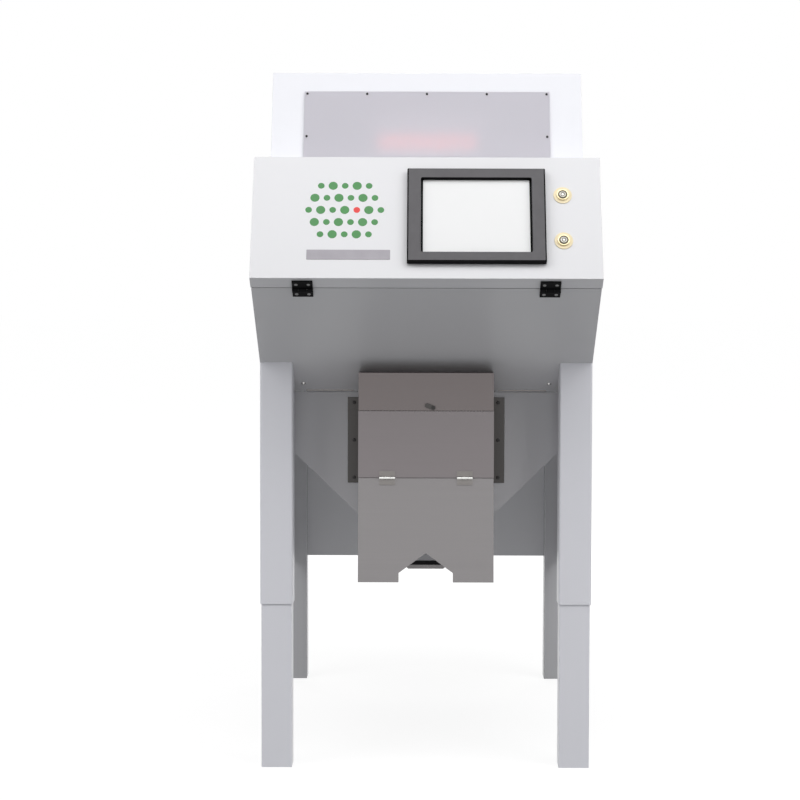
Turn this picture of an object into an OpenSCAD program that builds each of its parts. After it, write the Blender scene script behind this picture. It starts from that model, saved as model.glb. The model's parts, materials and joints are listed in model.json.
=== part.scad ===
// Free-standing optical colour sorter: a painted sheet-metal body on four legs, a tilted console
// with a hinged control cover, a vibrating feeder on the roof and a stainless spout in front.
// X runs to the right seen from the front, the front faces -Y and Z is up from the floor.

/* [Body] */
// Width across the side panels
body_w = 680; // [640:1:720]
// From the front of the front legs to the back of the rear legs
leg_span = 1073; // [1040:1:1120]
// How far the control cover's lower edge stands in front of the legs
overhang = 248; // [235:1:260]
// Thickness of the painted sheet
sheet = 2; // [1.5:0.1:2.5]
// Height of the lower edge of the side and rear panels
body_bottom_z = 309; // [280:1:330]
// Height where the rear panel meets the sloping rear hood
rear_top_z = 980; // [970:1:1010]
// Depth, behind the leg fronts, where the flat roof ends
roof_back_y = 700; // [695:1:720]
// How far the rear panel sits inside the back of the legs
rear_inset = 20; // [18:1:24]

/* [Legs] */
// Width of a front post
post_w = 67; // [60:1:72]
// Depth of a front post
post_d = 61; // [54:1:66]
// Height of the lower end of a front post
post_bottom_z = 339; // [320:1:360]
// Wall of the posts and legs
tube_wall = 2; // [1.5:0.1:3]
// Gap between a front leg and the post it slides into
leg_gap = 0.3; // [0.2:0.05:0.5]
// Length of a front leg inside its post
leg_overlap = 120; // [80:1:160]
// Width of a rear leg
rear_leg_w = 38; // [34:1:42]
// Depth of a rear leg
rear_leg_d = 60; // [50:1:64]
// Height of a rear leg
rear_leg_h = 960; // [900:1:965]
// Radius of the folded corners of a front post
post_r = 4; // [3.5:0.5:6]
// Distance of the console floor's bolts from the posts
bolt_inset = 18; // [12:1:24]
// Distance of the console floor's bolts from its rear edge
bolt_end = 28; // [20:1:40]
// Width of a bolt's head
bolt_d = 10; // [8:0.5:12]
// Width of a bolt's shank
bolt_shank_d = 5; // [4:0.5:6]
// Thickness of a bolt's nut
bolt_nut_t = 4; // [3:0.5:5]

/* [Rails] */
// Width of the side rails
rail_w = 30; // [24:1:34]
// Height of the side rails
rail_h = 40; // [30:1:44]
// Height of the side rails' lower face
rail_z = 715; // [710:1:720]

/* [Console] */
// Height of the control cover's lower edge
cover_bottom_z = 1007; // [1002:1:1015]
// Lean of the control panel from the vertical
panel_tilt = 27.2; // [25:0.1:29]
// Length of the control panel up its slope
panel_len = 269; // [262:1:278]
// Width of the control cover past the body
cover_extra = 2; // [1:0.5:4]
// Depth of the control cover's folded edges
cover_depth = 32; // [28:1:34]
// Fall of the sloping console floor
floor_slope = 34.5; // [33:0.1:35.5]
// Seam between the control cover and the console
seam_gap = 1.5; // [1:0.1:2.5]

/* [Screen] */
// Distance of the screen's centre from the cover's right edge
screen_inset = 244; // [236:1:252]
// Lower edge of the screen's bezel, up the panel
bezel_s = 31.3; // [28:0.1:44]
// Width of the bezel
bezel_w = 270; // [262:1:276]
// Height of the bezel
bezel_h = 206; // [196:1:212]
// How far the bezel stands out of the panel
bezel_t = 12; // [10:0.5:14]
// Corner radius of the bezel
bezel_r = 2; // [1:0.5:6]
// Width of the opening in the bezel
display_w = 217; // [205:1:225]
// Height of the opening in the bezel
display_h = 165; // [155:1:172]
// Thickness of the display glass
glass_t = 4; // [3:0.5:5]
// Depth of the panel computer behind the cover
pc_depth = 46; // [40:1:55]
// Rim of the panel computer hidden by the bezel
pc_rim = 10; // [8:0.5:14]
// Height of the cooling fins
fin_h = 10; // [6:0.5:12]
// Pitch of the cooling fins
fin_pitch = 16; // [14:0.5:24]
// Thickness of a cooling fin
fin_t = 3; // [2:0.5:4]
// Plain margin round the cooling fins
fin_margin = 20; // [12:1:28]

/* [Buttons] */
// Distance of the buttons from the cover's right edge
button_inset = 75; // [70:1:80]
// Place of the lower button, up the panel
button_low_s = 82.8; // [78:0.1:90]
// Distance between the buttons
button_pitch = 100.8; // [90:0.1:106]
// Width of a push button
button_d = 18; // [16:0.5:19]
// Width of a button's ring
ring_d = 23; // [22:0.5:26]
// Width of the disc behind a button
disc_d = 36; // [32:0.5:40]
// Thickness of the disc
disc_t = 1.5; // [1:0.1:2]
// Height of the ring over its disc
ring_h = 3; // [2:0.1:4]
// How far a button stands out of its ring
button_rise = 1.2; // [0.8:0.1:3]
// Flat rim round a button's dish
button_rim = 2; // [1.5:0.1:3]
// Depth of the dish in a button's face
button_dish = 0.8; // [0.4:0.1:1.2]
// Length of a button below its ring
button_tail = 12; // [10:0.5:14]
// Travel of a button
button_travel = 3; // [2:0.1:3.5]
// Radial running clearance of a button in its barrel
button_gap = 0.06; // [0.04:0.01:0.1]
// Length of the barrel behind the cover
barrel_len = 26; // [20:1:30]
// Width of the barrel
barrel_d = 21; // [20.5:0.1:21.8]
// Thickness of the barrel nut
nut_t = 5; // [4:0.5:7]
// Width of the barrel nut across its corners
nut_d = 29.4; // [28:0.1:32]

/* [Cover hinges] */
// Distance of the cover hinges' middles from the cover's edges
cover_hinge_inset = 101; // [91:1:116]
// Width of a cover hinge
cover_hinge_w = 40; // [34:1:44]
// Length of one leaf
cover_leaf = 25; // [20:0.5:27]
// Thickness of a leaf
cover_leaf_t = 4; // [3:0.1:4.5]
// Radius of the knuckles
cover_knuckle_r = 5; // [4.6:0.1:6]
// Radius of the pin
cover_pin_r = 2; // [1.5:0.1:2.5]

/* [Feeder] */
// Width of the feeder housing
housing_w = 640; // [620:1:660]
// Height of the feeder housing over the roof
housing_h = 188.5; // [182:0.5:196]
// Depth of the housing's front edge at the roof
housing_y = 38; // [30:1:46]
// Lean of the housing's front from the vertical
housing_tilt = 21.2; // [20:0.1:22]
// Depth of the housing's back
housing_back_y = 690; // [680:1:694]
// Width of the clear window
window_w = 507; // [490:1:520]
// Height of the clear window
window_h = 157; // [150:1:164]
// Distance of the window below the housing's top edge
window_drop = 44; // [34:1:46]
// Thickness of the window
window_t = 4; // [3:0.5:5]
// Lap of the window on the housing
window_lap = 14; // [12:1:18]
// Distance of the window screws from its edge
screw_inset = 6; // [4:0.5:10]
// How far the side screws lie under the top row
side_screw_drop = 96.5; // [80:0.5:110]
// Width of the window screws' heads
screw_d = 5; // [4:0.5:9]
// Height of a screw head
screw_h = 2.5; // [1.5:0.1:3]
// Half width of the hopper's inlet
inlet_half_w = 150; // [140:1:160]
// Front of the hopper's inlet
inlet_y = 165; // [160:1:175]
// Depth of the hopper's inlet
inlet_d = 230; // [200:1:236]
// Half width of the hopper's outlet
hopper_out_half = 100; // [80:1:110]
// Depth of the hopper's outlet
hopper_out_d = 130; // [110:1:150]
// Thickness of stainless sheet
steel = 1.5; // [1.2:0.1:2]
// Rim of the hopper under the housing's top
hopper_rim = 18; // [12:1:20]
// Gap between the hopper's outlet and the tray's floor
hopper_gap = 24; // [18:1:30]
// Half width of the feeder tray
tray_half_w = 130; // [124:1:133]
// Front of the feeder tray
tray_y = 145; // [142:1:150]
// Length of the feeder tray
tray_len = 385; // [375:1:388]
// Height of the tray's walls
tray_wall_h = 50; // [40:1:56]
// Half width of the vibrating drive
drive_half_w = 107; // [100:1:115]
// Length of the vibrating drive
drive_len = 270; // [255:1:280]
// Height of the base under the drive
base_h = 30; // [26:1:34]
// Height of the drive
drive_h = 36; // [32:1:40]
// Gap between the drive and the tray's floor
drive_gap = 6; // [5:0.5:8]
// Half width of a leaf spring
spring_half_w = 40; // [30:1:46]
// Thickness of a leaf spring
spring_t = 2; // [1.5:0.1:2.5]
// Stroke of the tray to either side
tray_stroke = 0.5; // [0.3:0.05:0.6]
// Distance of the leaf springs from the drive's ends
spring_inset = 40; // [35:1:50]
// Distance of the drive behind the tray's front
drive_set = 5; // [4:0.5:8]
// Rim of a spring's lug under the tray, round the spring's width
lug_rim = 6; // [4:0.5:8]
// Half length of a spring's lug
lug_half = 8; // [6:0.5:10]
// Room between a lug and the drive
lug_gap = 1.5; // [1:0.1:2]

/* [Core] */
// Half width between the core plates
core_half = 138; // [130:1:140]
// Thickness of the core plates
core_t = 4; // [3:0.5:5]
// Gap between the funnel's front plate and the core plates
core_front_gap = 5; // [4:0.5:8]
// Height of the top of the core plates' front edge
core_front_z = 970; // [960:1:975]
// Run of the core plates' lower front edge
core_foot_run = 103; // [98:1:108]
// Rise of the core plates' lower front edge
core_foot_rise = 90; // [84:1:94]
// How far the core plates reach below the rails
core_drop = 20; // [10:1:30]
// Length of the core plates' cut-away rear corner
core_corner_d = 100; // [80:1:120]
// Height of the core plates' cut-away rear corner
core_corner_h = 80; // [60:1:90]
// Gap between the core plates and the roof
core_roof_gap = 6; // [4:0.5:8]
// Length of the core plates' top in front of the roof's slot
core_top_d = 100; // [80:1:120]
// Radius of the hole for wiring in the core plates
core_hole_r = 24; // [18:1:28]
// Distance of that hole behind the chute's lower end
core_hole_y = 170; // [160:1:180]
// Distance of that hole below the chute's lower end
core_hole_drop = 10; // [4:1:16]
// Length of a bracket between a core plate and a rail
bracket_len = 60; // [50:1:70]
// Height of a bracket's upright
bracket_h = 45; // [36:1:50]
// Thickness of a bracket
bracket_t = 3; // [2:0.5:4]
// Distance of a bracket's foot from the outer side of its rail
bracket_inset = 4; // [2:0.5:6]
// Distance of the front brackets behind the funnel's front plate
bracket_front = 30; // [24:1:40]
// Distance of the rear brackets from the back of the core plates
bracket_back = 30; // [24:1:36]

/* [Chute] */
// Depth of the chute's lower end
chute_y = 250; // [246:1:254]
// Height of the chute's lower end
chute_z = 830; // [826:1:836]
// Slope of the chute
chute_slope = 57.8; // [57:0.1:58.5]
// Length of the chute
chute_len = 540; // [530:1:546]
// Length of the roof's slot in front of the chute
roof_slot_front = 50; // [44:1:56]
// Length of the roof's slot behind the chute
roof_slot_back = 45; // [40:1:50]
// Number of channels
channels = 26; // [16:1:30]
// Depth of a channel
channel_h = 4; // [3:0.5:5]
// Thickness of the chute under its channels
chute_t = 3; // [2:0.5:4]
// Height of the chute's side walls
chute_wall_h = 25; // [18:1:28]
// Thickness of the chute's side walls
chute_wall_t = 3; // [2:0.5:4]

/* [Optics] */
// Thickness of the optics boxes' sheet
optics_t = 2; // [1.5:0.1:2.5]
// Thickness of the optics glass
optics_glass_t = 5; // [4:0.5:6]
// Width of a camera body
camera_w = 50; // [40:1:56]
// Length of a camera body
camera_l = 56; // [46:1:62]
// Radius of a camera's lens
lens_r = 20; // [16:1:24]
// Length of a camera's lens
lens_l = 40; // [30:1:45]
// Half length of a lamp bar
lamp_half = 120; // [110:1:126]
// Height of a lamp bar
lamp_h = 16; // [12:1:18]
// Depth of a lamp bar along its wall
lamp_d = 22; // [18:1:24]
// Length of a camera's focus ring
focus_ring_l = 6; // [4:0.5:8]
// How far a camera's focus ring stands out of its lens
focus_ring_h = 2; // [1:0.5:3]
// Half width of a camera's stand
stand_half_w = 12; // [10:1:16]
// Half depth of a camera's stand
stand_half_d = 8; // [6:1:10]
// Closed ends of a box's slot
slot_end = 7; // [5:0.5:8]
// Distance of the optics glass from the core plates
glass_end = 4; // [3:0.5:6]

/* [Ejector] */
// Front of the ejector manifold
ejector_y = 116; // [114:1:120]
// Height of the ejector's nozzle row
ejector_z = 740; // [736:1:744]
// Depth of the ejector manifold
ejector_d = 52; // [48:1:54]
// Height of the ejector manifold
ejector_h = 40; // [36:1:44]
// Depth of the manifold's tapered nose
nose_d = 14; // [10:1:18]
// Height of the manifold's nose
nose_h = 6; // [5:0.5:8]
// Pitch of the nozzles
nozzle_pitch = 6; // [5:0.5:8]
// Width of a nozzle
nozzle_d = 2; // [1.5:0.1:2.5]
// Length of a nozzle
nozzle_len = 23; // [18:1:28]
// Plain end of the nozzle row and the valve row
row_end = 8; // [6:0.5:10]
// Number of valves
valves = 20; // [14:1:22]
// Width of a valve
valve_w = 9; // [7:0.5:10]
// Depth of a valve
valve_d = 16; // [14:0.5:18]
// Height of a valve
valve_h = 30; // [26:1:34]
// Run of the slide for accepted grain
slide_run = 100; // [96:1:102]
// Rise of the slide for accepted grain
slide_rise = 96; // [94:1:100]

/* [Funnel] */
// Depth of the funnel's front plate
funnel_y = 92; // [90:1:93]
// Height where the funnel starts to narrow
funnel_top_z = 676; // [670:1:706]
// Height of the funnel's mouth
funnel_mouth_z = 418.5; // [416:0.5:430]
// Half width of the funnel's mouth
mouth_half = 40; // [36:1:46]
// Depth of the funnel's mouth
mouth_d = 80; // [70:1:90]
// Depth of the funnel's top from its front plate
funnel_d = 466; // [450:1:480]
// Height of the funnel's upright rim
funnel_rim = 69; // [40:1:72]
// Height of the seal under the mouth
seal_h = 9; // [6:0.5:12]
// Height of the collar under the seal
collar_h = 9; // [8:0.5:12]
// Chamfer of the collar's lower corners
collar_chamfer = 3; // [1:0.5:4]
// Wall of the seal and the collar
collar_t = 5; // [4:0.5:6]

/* [Spout] */
// Width of the spout
spout_w = 275.5; // [268:0.5:280]
// Depth of the spout's upper panel in front of the legs
spout_front = 18; // [16:1:22]
// Height of the spout's top
spout_top_z = 816; // [812:1:820]
// Height of the inspection door's top edge
door_top_z = 739; // [736:1:742]
// Length of the inspection door
door_len = 137; // [132:1:142]
// Width of the door past the spout
door_extra = 1; // [0.5:0.5:5]
// Lean of the door
door_tilt = 3; // [2:0.1:4]
// Length of the apron
apron_len = 212; // [206:1:218]
// Lean of the apron
apron_tilt = 8; // [7:0.1:9]
// Clearance round the door
door_gap = 0.8; // [0.5:0.1:1.2]
// Seat clearance of the sheets on the spout's sides
seat_gap = 0.3; // [0.2:0.05:0.4]
// Half width of the notch in the apron
notch_half = 55; // [48:1:60]
// Height of the notch's shoulders
notch_side_h = 19; // [14:1:24]
// Height of the notch's peak
notch_h = 59; // [50:1:62]
// Distance of the spout's mouth from its flange
mouth_run = 65; // [60:1:70]
// Height of the spout's rear edge over its foot
mouth_rise = 70; // [60:1:80]
// Width of the spout's sides at their foot
side_foot = 14; // [10:1:18]
// Width of the mounting flange
flange_w = 327; // [320:1:334]
// Height of the mounting flange
flange_h = 179; // [174:1:184]
// Height of the flange's lower edge
flange_z = 582; // [578:1:585]
// Half width of the passage through the flange
passage_half = 132; // [126:1:133]
// Margin of the flange round its passage
passage_margin = 17; // [15:1:20]
// Distance of the flange screws from its side edges
flange_screw_inset = 13.5; // [11:0.5:15]
// Width of the flange screws' heads
flange_screw_d = 7; // [5:0.5:9]
// Distance of the end screws from the flange's ends
flange_screw_end = 11; // [8:0.5:14]
// Place of the door hinges either side of the middle
door_hinge_x = 79; // [70:1:90]
// Width of a door hinge
door_hinge_w = 32; // [28:1:36]
// Length of one leaf of a door hinge
door_leaf = 14; // [12:0.5:16]
// Thickness of a door hinge's leaf
door_leaf_t = 1.5; // [1.2:0.1:1.8]
// Radius of a door hinge's knuckles
door_knuckle_r = 3; // [2.6:0.1:3.4]
// Radius of a door hinge's pin
door_pin_r = 1.5; // [1:0.1:1.7]

/* [Latch] */
// Place of the latch's pivot, right of the middle
latch_x = 14.5; // [10:0.5:20]
// Height of the latch's pivot over the door's edge
latch_rise = 6; // [5.5:0.1:8]
// Length of the latch from its pivot to its tip
latch_len = 18; // [14:0.5:22]
// Width of the latch
latch_w = 9; // [7:0.5:10]
// Thickness of the latch
latch_t = 1.8; // [1.5:0.1:2.5]
// Angle of the released latch over the horizontal
latch_angle = 20; // [15:1:30]
// Radius of the latch's pivot
pivot_r = 2; // [1.5:0.1:2.5]
// Radius of the pivot's head and collar
pivot_head_r = 3.6; // [3.2:0.1:4]
// Thickness of the pivot's head
pivot_head_t = 2; // [1:0.1:3]

/* [Equipment] */
// Front of the equipment shelf
shelf_y = 620; // [600:1:640]
// Length of the equipment shelf
shelf_len = 370; // [340:1:375]
// Width of the electronics box
box_w = 270; // [240:1:290]
// Depth of the electronics box
box_d = 280; // [240:1:300]
// Height of the electronics box
box_h = 150; // [120:1:160]
// Width of the power supply
supply_w = 200; // [170:1:230]
// Depth of the power supply
supply_d = 220; // [180:1:240]
// Height of the power supply
supply_h = 100; // [80:1:110]
// Distance of both boxes from the middle and from the shelf's front
box_inset = 20; // [14:1:26]
// Place of the services either side of the middle
service_x = 110; // [90:1:130]
// Height of the services on the rear panel
service_z = 400; // [380:1:420]
// Radius of the air inlet's bore
air_bore_r = 5; // [4:0.5:6]
// Radius of the air inlet's body
air_body_r = 9; // [8:0.5:11]
// Length of the air inlet inside the rear panel
air_len = 30; // [24:1:36]
// Depth of the air inlet's bore inside the rear panel
air_bore_len = 10; // [8:1:14]
// How far the air inlet stays inside the back of the legs
air_inset = 4; // [3:0.5:6]
// Rim of the air inlet's nut
air_nut_rim = 4; // [3:0.5:5]
// Thickness of the air inlet's nut
air_nut_t = 6; // [5:0.5:7]
// Half width of the mains inlet's cut-out
mains_half_w = 24; // [22:0.5:26]
// Half height of the mains inlet's cut-out
mains_half_h = 14; // [13:0.5:16]
// Rim of the mains inlet round its cut-out
mains_rim = 5; // [4:0.5:6]
// Thickness of the mains inlet's rim
mains_rim_t = 4; // [3:0.5:5]
// Length of the mains inlet inside the rear panel
mains_len = 25; // [22:1:30]
// Half width of the mains inlet's socket
socket_half_w = 12.5; // [11:0.5:14]
// Half height of the mains inlet's socket
socket_half_h = 8.5; // [8:0.5:10]
// Depth of the mains inlet's socket behind the rear panel
socket_d = 18; // [16:1:20]
// Pitch of the mains inlet's pins
pin_pitch = 7; // [6:0.5:8]
// Thickness of a mains pin
mains_pin_t = 2; // [1.5:0.1:2.5]
// Height of a mains pin
mains_pin_h = 4; // [3:0.5:5]
// Length of a mains pin
mains_pin_l = 14; // [12:1:16]
// Distance of the first louvre below the rear panel's top
louvre_drop = 110; // [90:1:130]
// Number of louvres in each bank
louvres = 10; // [6:1:12]
// Pitch of the louvres
louvre_pitch = 28; // [24:1:32]
// Width of a louvre
louvre_w = 190; // [160:1:210]
// How far a louvre stands out
louvre_proud = 8; // [6:0.5:10]

/* [Hidden] */
$fn = 48;
// Running clearance of hinge pins and knuckles
pin_gap = 0.04;
knuckle_gap = 0.3;
eps = 1;

half_w = body_w / 2;
inner_half = half_w - sheet;
depth = overhang + leg_span;
leg_front_y = overhang - depth / 2;

// Console profile
bend = panel_tilt - floor_slope;
roof_z = cover_bottom_z + panel_len * cos(panel_tilt);
cover_w = body_w + cover_extra;
screen_x = cover_w / 2 - screen_inset;
button_x = cover_w / 2 - button_inset;
cover_hinge_x = cover_w / 2 - cover_hinge_inset;
lip_len = cover_depth / cos(bend);
console_n = -cover_depth - seam_gap;
floor_start = -console_n / cos(bend);
floor_end = (funnel_y - seam_gap + overhang) / cos(floor_slope);
seam_s = (lip_len + floor_start) / 2;
roof_front_s = (roof_z - cover_bottom_z - console_n * sin(panel_tilt)) / cos(panel_tilt);

// Point on the control panel: s up its slope, n outwards
function panel_pt(s, n) = [-overhang + s * sin(panel_tilt) - n * cos(panel_tilt),
                           cover_bottom_z + s * cos(panel_tilt) + n * sin(panel_tilt)];
// Height of the console floor's outer face
function floor_z(y) = cover_bottom_z - (y + overhang) * tan(floor_slope);
// Four-sided strip along a line, from one offset to another on its left
function strip(a, b, d0, d1) =
    let (u = (b - a) / norm(b - a), n = [-u[1], u[0]])
    [a + n * d0, b + n * d0, b + n * d1, a + n * d1];

roof_front_y = panel_pt(roof_front_s, console_n)[0];
floor_front = [-overhang + floor_start * cos(floor_slope),
               cover_bottom_z - floor_start * sin(floor_slope)];

// Feeder
housing_top_z = roof_z + housing_h;
housing_slope_len = housing_h / cos(housing_tilt);
window_top = housing_slope_len - window_drop;
// Gasket tape under the window
window_seat = 0.1;
window_face = window_seat + window_t;
drive_y = tray_y + drive_set;
drive_top_z = roof_z + base_h + drive_h;
tray_z = drive_top_z + drive_gap;
hopper_top_z = housing_top_z - sheet;
hopper_out_z = tray_z + steel + hopper_gap;
spring_ys = [drive_y + spring_inset, drive_y + drive_len - spring_inset];
spring_foot_z = drive_top_z - drive_h / 2;
// Roof of a lug over its spring, and room for the spring beside the stroke
lug_roof = 0.7;
lug_clear = 0.15;
spring_top_z = tray_z - lug_roof - seat_gap;
lug_h = drive_gap - lug_gap;

// Chute
chute_roof_y = chute_y + (roof_z - chute_z) / tan(chute_slope);
roof_hole = [chute_roof_y - roof_slot_front, chute_roof_y + roof_slot_back];
core_out = core_half + core_t;

// Rails and rear
rail_x1 = half_w - sheet - leg_gap;
rail_x0 = rail_x1 - rail_w;
rail_top_z = rail_z + rail_h;
rear_leg_y = leg_span - rear_leg_d;
rear_leg_x = inner_half - rear_leg_w;
rear_face_y = leg_span - rear_inset;
// Gap between the core plates and the equipment shelf
shelf_gap = 10;
core_back_y = shelf_y - shelf_gap;
bracket_w = rail_x1 - bracket_inset - core_out;

// Spout
spout_half = spout_w / 2;
spout_y = -spout_front;
// The spout's flat top runs back to the console floor
spout_top_y = (cover_bottom_z - spout_top_z) / tan(floor_slope) - overhang - seat_gap / sin(floor_slope);
door_foot = [spout_y - door_len * sin(door_tilt), door_top_z - door_len * cos(door_tilt)];
apron_foot = [door_foot[0] - apron_len * sin(apron_tilt), door_foot[1] - apron_len * cos(apron_tilt)];
flange_y = funnel_y - sheet;
passage_z0 = flange_z + passage_margin;
passage_z1 = flange_z + flange_h - passage_margin;
// The door hinges' axis lies on the bisector of the door and the apron
hinge_bend = (apron_tilt - door_tilt) / 2;
hinge_shift = (door_knuckle_r + knuckle_gap) * tan(hinge_bend);
screw_rows = [flange_z + flange_screw_end, flange_z + flange_h / 2,
              flange_z + flange_h - flange_screw_end];
// Stand of the latch off the spout, so that its tip passes over the leaning door
latch_stand = (latch_len - latch_rise) * tan(door_tilt) + 2 * seat_gap;

// Corners of the optics boxes, back from the funnel plate or the chute's lower end, and up
front_nose = [-122, 892];
front_heel = [8, 806];
front_glass_foot = [78, 798];
front_glass_top = [102, 852];
front_crown = [58, 965];
front_lens = [-17, 890];
rear_foot = [55, 768];
rear_glass_top = [55, 800];
rear_brow = [105, 890];
rear_crown = [270, 915];
rear_lens = [165, 836];
// Outlines of the front and the rear optics box, as Y and Z
front_start = [funnel_y, 0];
front_box = [front_start + front_nose, front_start + front_heel, front_start + front_glass_foot,
             front_start + front_glass_top, front_start + front_crown,
             [funnel_y + front_nose[0], front_crown[1]]];
rear_start = [chute_y, 0];
rear_box = [rear_start + rear_foot, [chute_y + rear_crown[0], rear_foot[1]], rear_start + rear_crown,
            rear_start + rear_brow, rear_start + rear_glass_top];
// Seat of the lamps and the camera stands on the boxes' walls
optics_seat = 0.1;
// Place of the product stream that both cameras look at, from the chute's lower end
view_drop = [-17, -27];
view_point = [chute_y, chute_z] + view_drop;
// Distance of each lamp bar from the corner of its box
front_lamp_set = 22;
rear_lamp_set = 30;
// Length of a push button inside its ring
button_stem = ring_h + disc_t + button_tail;

// Frames of reference

// Y = 0 at the front of the front legs
module leg_frame() translate([0, leg_front_y, 0]) children();

// X right, Y up the control panel, Z outwards
module panel_frame()
    leg_frame() translate([0, -overhang, cover_bottom_z]) rotate([90 - panel_tilt, 0, 0]) children();

// X right, Y back along the console floor, Z into the console
module floor_frame()
    leg_frame() translate([0, -overhang, cover_bottom_z]) rotate([-floor_slope, 0, 0]) children();

// X right, Y up the housing's front, Z outwards
module housing_frame()
    leg_frame() translate([0, housing_y, roof_z]) rotate([90 - housing_tilt, 0, 0]) children();

// X right, Y up the door or the apron from the seam between them, Z outwards
module seam_frame(tilt)
    leg_frame() translate([0, door_foot[0], door_foot[1]]) rotate([90 - tilt, 0, 0]) children();

// Building shapes

module both_sides() {
    children();
    mirror([1, 0, 0]) children();
}

// Prism of a Y, Z outline between two X places
module yz_prism(points, x0, x1)
    translate([x0, 0, 0]) rotate([90, 0, 90]) linear_extrude(x1 - x0) polygon(points);

// Prism of an X, Z outline between two Y places
module xz_prism(points, y0, y1)
    translate([0, y1, 0]) rotate([90, 0, 0]) linear_extrude(y1 - y0) polygon(points);

// Box from one corner to the other
module span(a, b) translate(a) cube(b - a);

// Plate with round corners, lying on Z = 0 and centred on X
module round_plate(w, h, t, r)
    union() {
        translate([-w / 2 + r, 0, 0]) cube([w - 2 * r, h, t]);
        translate([-w / 2, r, 0]) cube([w, h - 2 * r, t]);
        for (x = [-w / 2 + r, w / 2 - r], y = [r, h - r])
            translate([x, y, 0]) cylinder(r = r, h = t);
    }

// Outline of a rectangle from the origin, with round corners where it has a radius
module round_rect(w, d, r) {
    translate([r, 0]) square([w - 2 * r, d]);
    translate([0, r]) square([w, d - 2 * r]);
    for (x = [r, w - r], y = [r, d - r])
        translate([x, y]) circle(r = r);
}

// Hinge leaf on the plane Z = 0 with its axis along X at a height, plate towards +Y
module hinge_leaf(w, len, t, knuckle_r, bore_r, segments) {
    axis_z = knuckle_r + knuckle_gap;
    root_y = knuckle_r + 2 * knuckle_gap;
    difference() {
        union() {
            translate([-w / 2, root_y, 0]) cube([w, len - root_y, t]);
            for (seg = segments) {
                translate([seg[0], 0, 0]) cube([seg[1] - seg[0], root_y + eps, t]);
                translate([seg[0], 0, axis_z]) rotate([0, 90, 0])
                    cylinder(r = knuckle_r, h = seg[1] - seg[0]);
            }
        }
        translate([-w, 0, axis_z]) rotate([0, 90, 0]) cylinder(r = bore_r, h = 2 * w);
    }
}

function middle_knuckle(w) = [[-w / 5, w / 5]];
function outer_knuckles(w) = [[-w / 2, -w / 5 - knuckle_gap], [w / 5 + knuckle_gap, w / 2]];

// Radius of a dome of a width and a height
function dome_r(d, h) = (d * d / 4 + h * h) / (2 * h);

// Domed screw head on Z = 0
module screw_head(d, h)
    intersection() {
        cylinder(d = d, h = h);
        translate([0, 0, h - dome_r(d, h)]) sphere(r = dome_r(d, h), $fn = 64);
    }

// Legs and frame

// Folded tube with round corners, cut along the console floor at its top
module front_posts() {
    inner_r = post_r - tube_wall;
    color("whitesmoke") leg_frame() both_sides() intersection() {
        translate([half_w - post_w, 0, post_bottom_z]) difference() {
            linear_extrude(cover_bottom_z - post_bottom_z) round_rect(post_w, post_d, post_r);
            translate([tube_wall, tube_wall, -eps]) linear_extrude(cover_bottom_z)
                round_rect(post_w - 2 * tube_wall, post_d - 2 * tube_wall, inner_r);
        }
        yz_prism([[-eps, 0], [post_d + eps, 0], [post_d + eps, floor_z(post_d + eps)], [-eps, floor_z(-eps)]],
                 0, body_w);
    }
}

module front_legs() {
    inset = tube_wall + leg_gap;
    w = post_w - 2 * inset;
    d = post_d - 2 * inset;
    h = post_bottom_z + leg_overlap;
    r = post_r - inset;
    color("gainsboro") leg_frame() both_sides() translate([half_w - post_w + inset, inset, 0]) difference() {
        linear_extrude(h) round_rect(w, d, r);
        translate([tube_wall, tube_wall, 2 * tube_wall])
            cube([w - 2 * tube_wall, d - 2 * tube_wall, h]);
    }
}

module rear_legs()
    color("gainsboro") leg_frame() both_sides() translate([rear_leg_x, rear_leg_y, 0]) difference() {
        cube([rear_leg_w, rear_leg_d, rear_leg_h]);
        translate([tube_wall, tube_wall, 2 * tube_wall])
            cube([rear_leg_w - 2 * tube_wall, rear_leg_d - 2 * tube_wall, rear_leg_h]);
    }

module side_rails()
    color("lightgray") leg_frame() both_sides() difference() {
        span([rail_x0, post_d, rail_z], [rail_x1, rear_leg_y, rail_top_z]);
        span([rail_x0 + tube_wall, post_d - eps, rail_z + tube_wall],
             [rail_x1 - tube_wall, rear_leg_y + eps, rail_top_z - tube_wall]);
    }

// Where the bolts beside the posts pass through the console floor
module bolt_places()
    floor_frame() both_sides()
        translate([half_w - post_w - bolt_inset, floor_end - bolt_end, 0]) children();

// Bolts with their heads under the console floor and their nuts inside
module post_bolts()
    color("silver") bolt_places() {
        mirror([0, 0, 1]) screw_head(bolt_d, screw_h);
        cylinder(d = bolt_shank_d, h = sheet + bolt_nut_t);
        translate([0, 0, sheet]) cylinder(d = bolt_d, h = bolt_nut_t, $fn = 6);
    }

// Painted panels

module side_panel()
    leg_frame()
        yz_prism([floor_front, [post_d, floor_z(post_d)], [post_d, body_bottom_z],
                  [leg_span, body_bottom_z], [leg_span, rear_top_z], [roof_back_y, roof_z],
                  [roof_front_y, roof_z]],
                 inner_half, half_w);

module side_panel_right() color("whitesmoke") side_panel();

module side_panel_left() color("whitesmoke") mirror([1, 0, 0]) side_panel();

module console_floor()
    color("gainsboro") difference() {
        floor_frame() span([-inner_half, floor_start, 0], [inner_half, floor_end, sheet]);
        bolt_places() translate([0, 0, -eps]) cylinder(d = bolt_shank_d + 2 * pin_gap, h = sheet + 2 * eps);
    }

module roof_panel()
    color("whitesmoke") leg_frame() difference() {
        span([-inner_half, roof_front_y, roof_z - sheet], [inner_half, roof_back_y, roof_z]);
        span([-core_out, roof_hole[0], roof_z - sheet - eps], [core_out, roof_hole[1], roof_z + eps]);
    }

module rear_hood()
    color("whitesmoke") leg_frame()
        yz_prism(strip([leg_span, rear_top_z], [roof_back_y + seam_gap, roof_z], 0, sheet),
                 -inner_half, inner_half);

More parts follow.
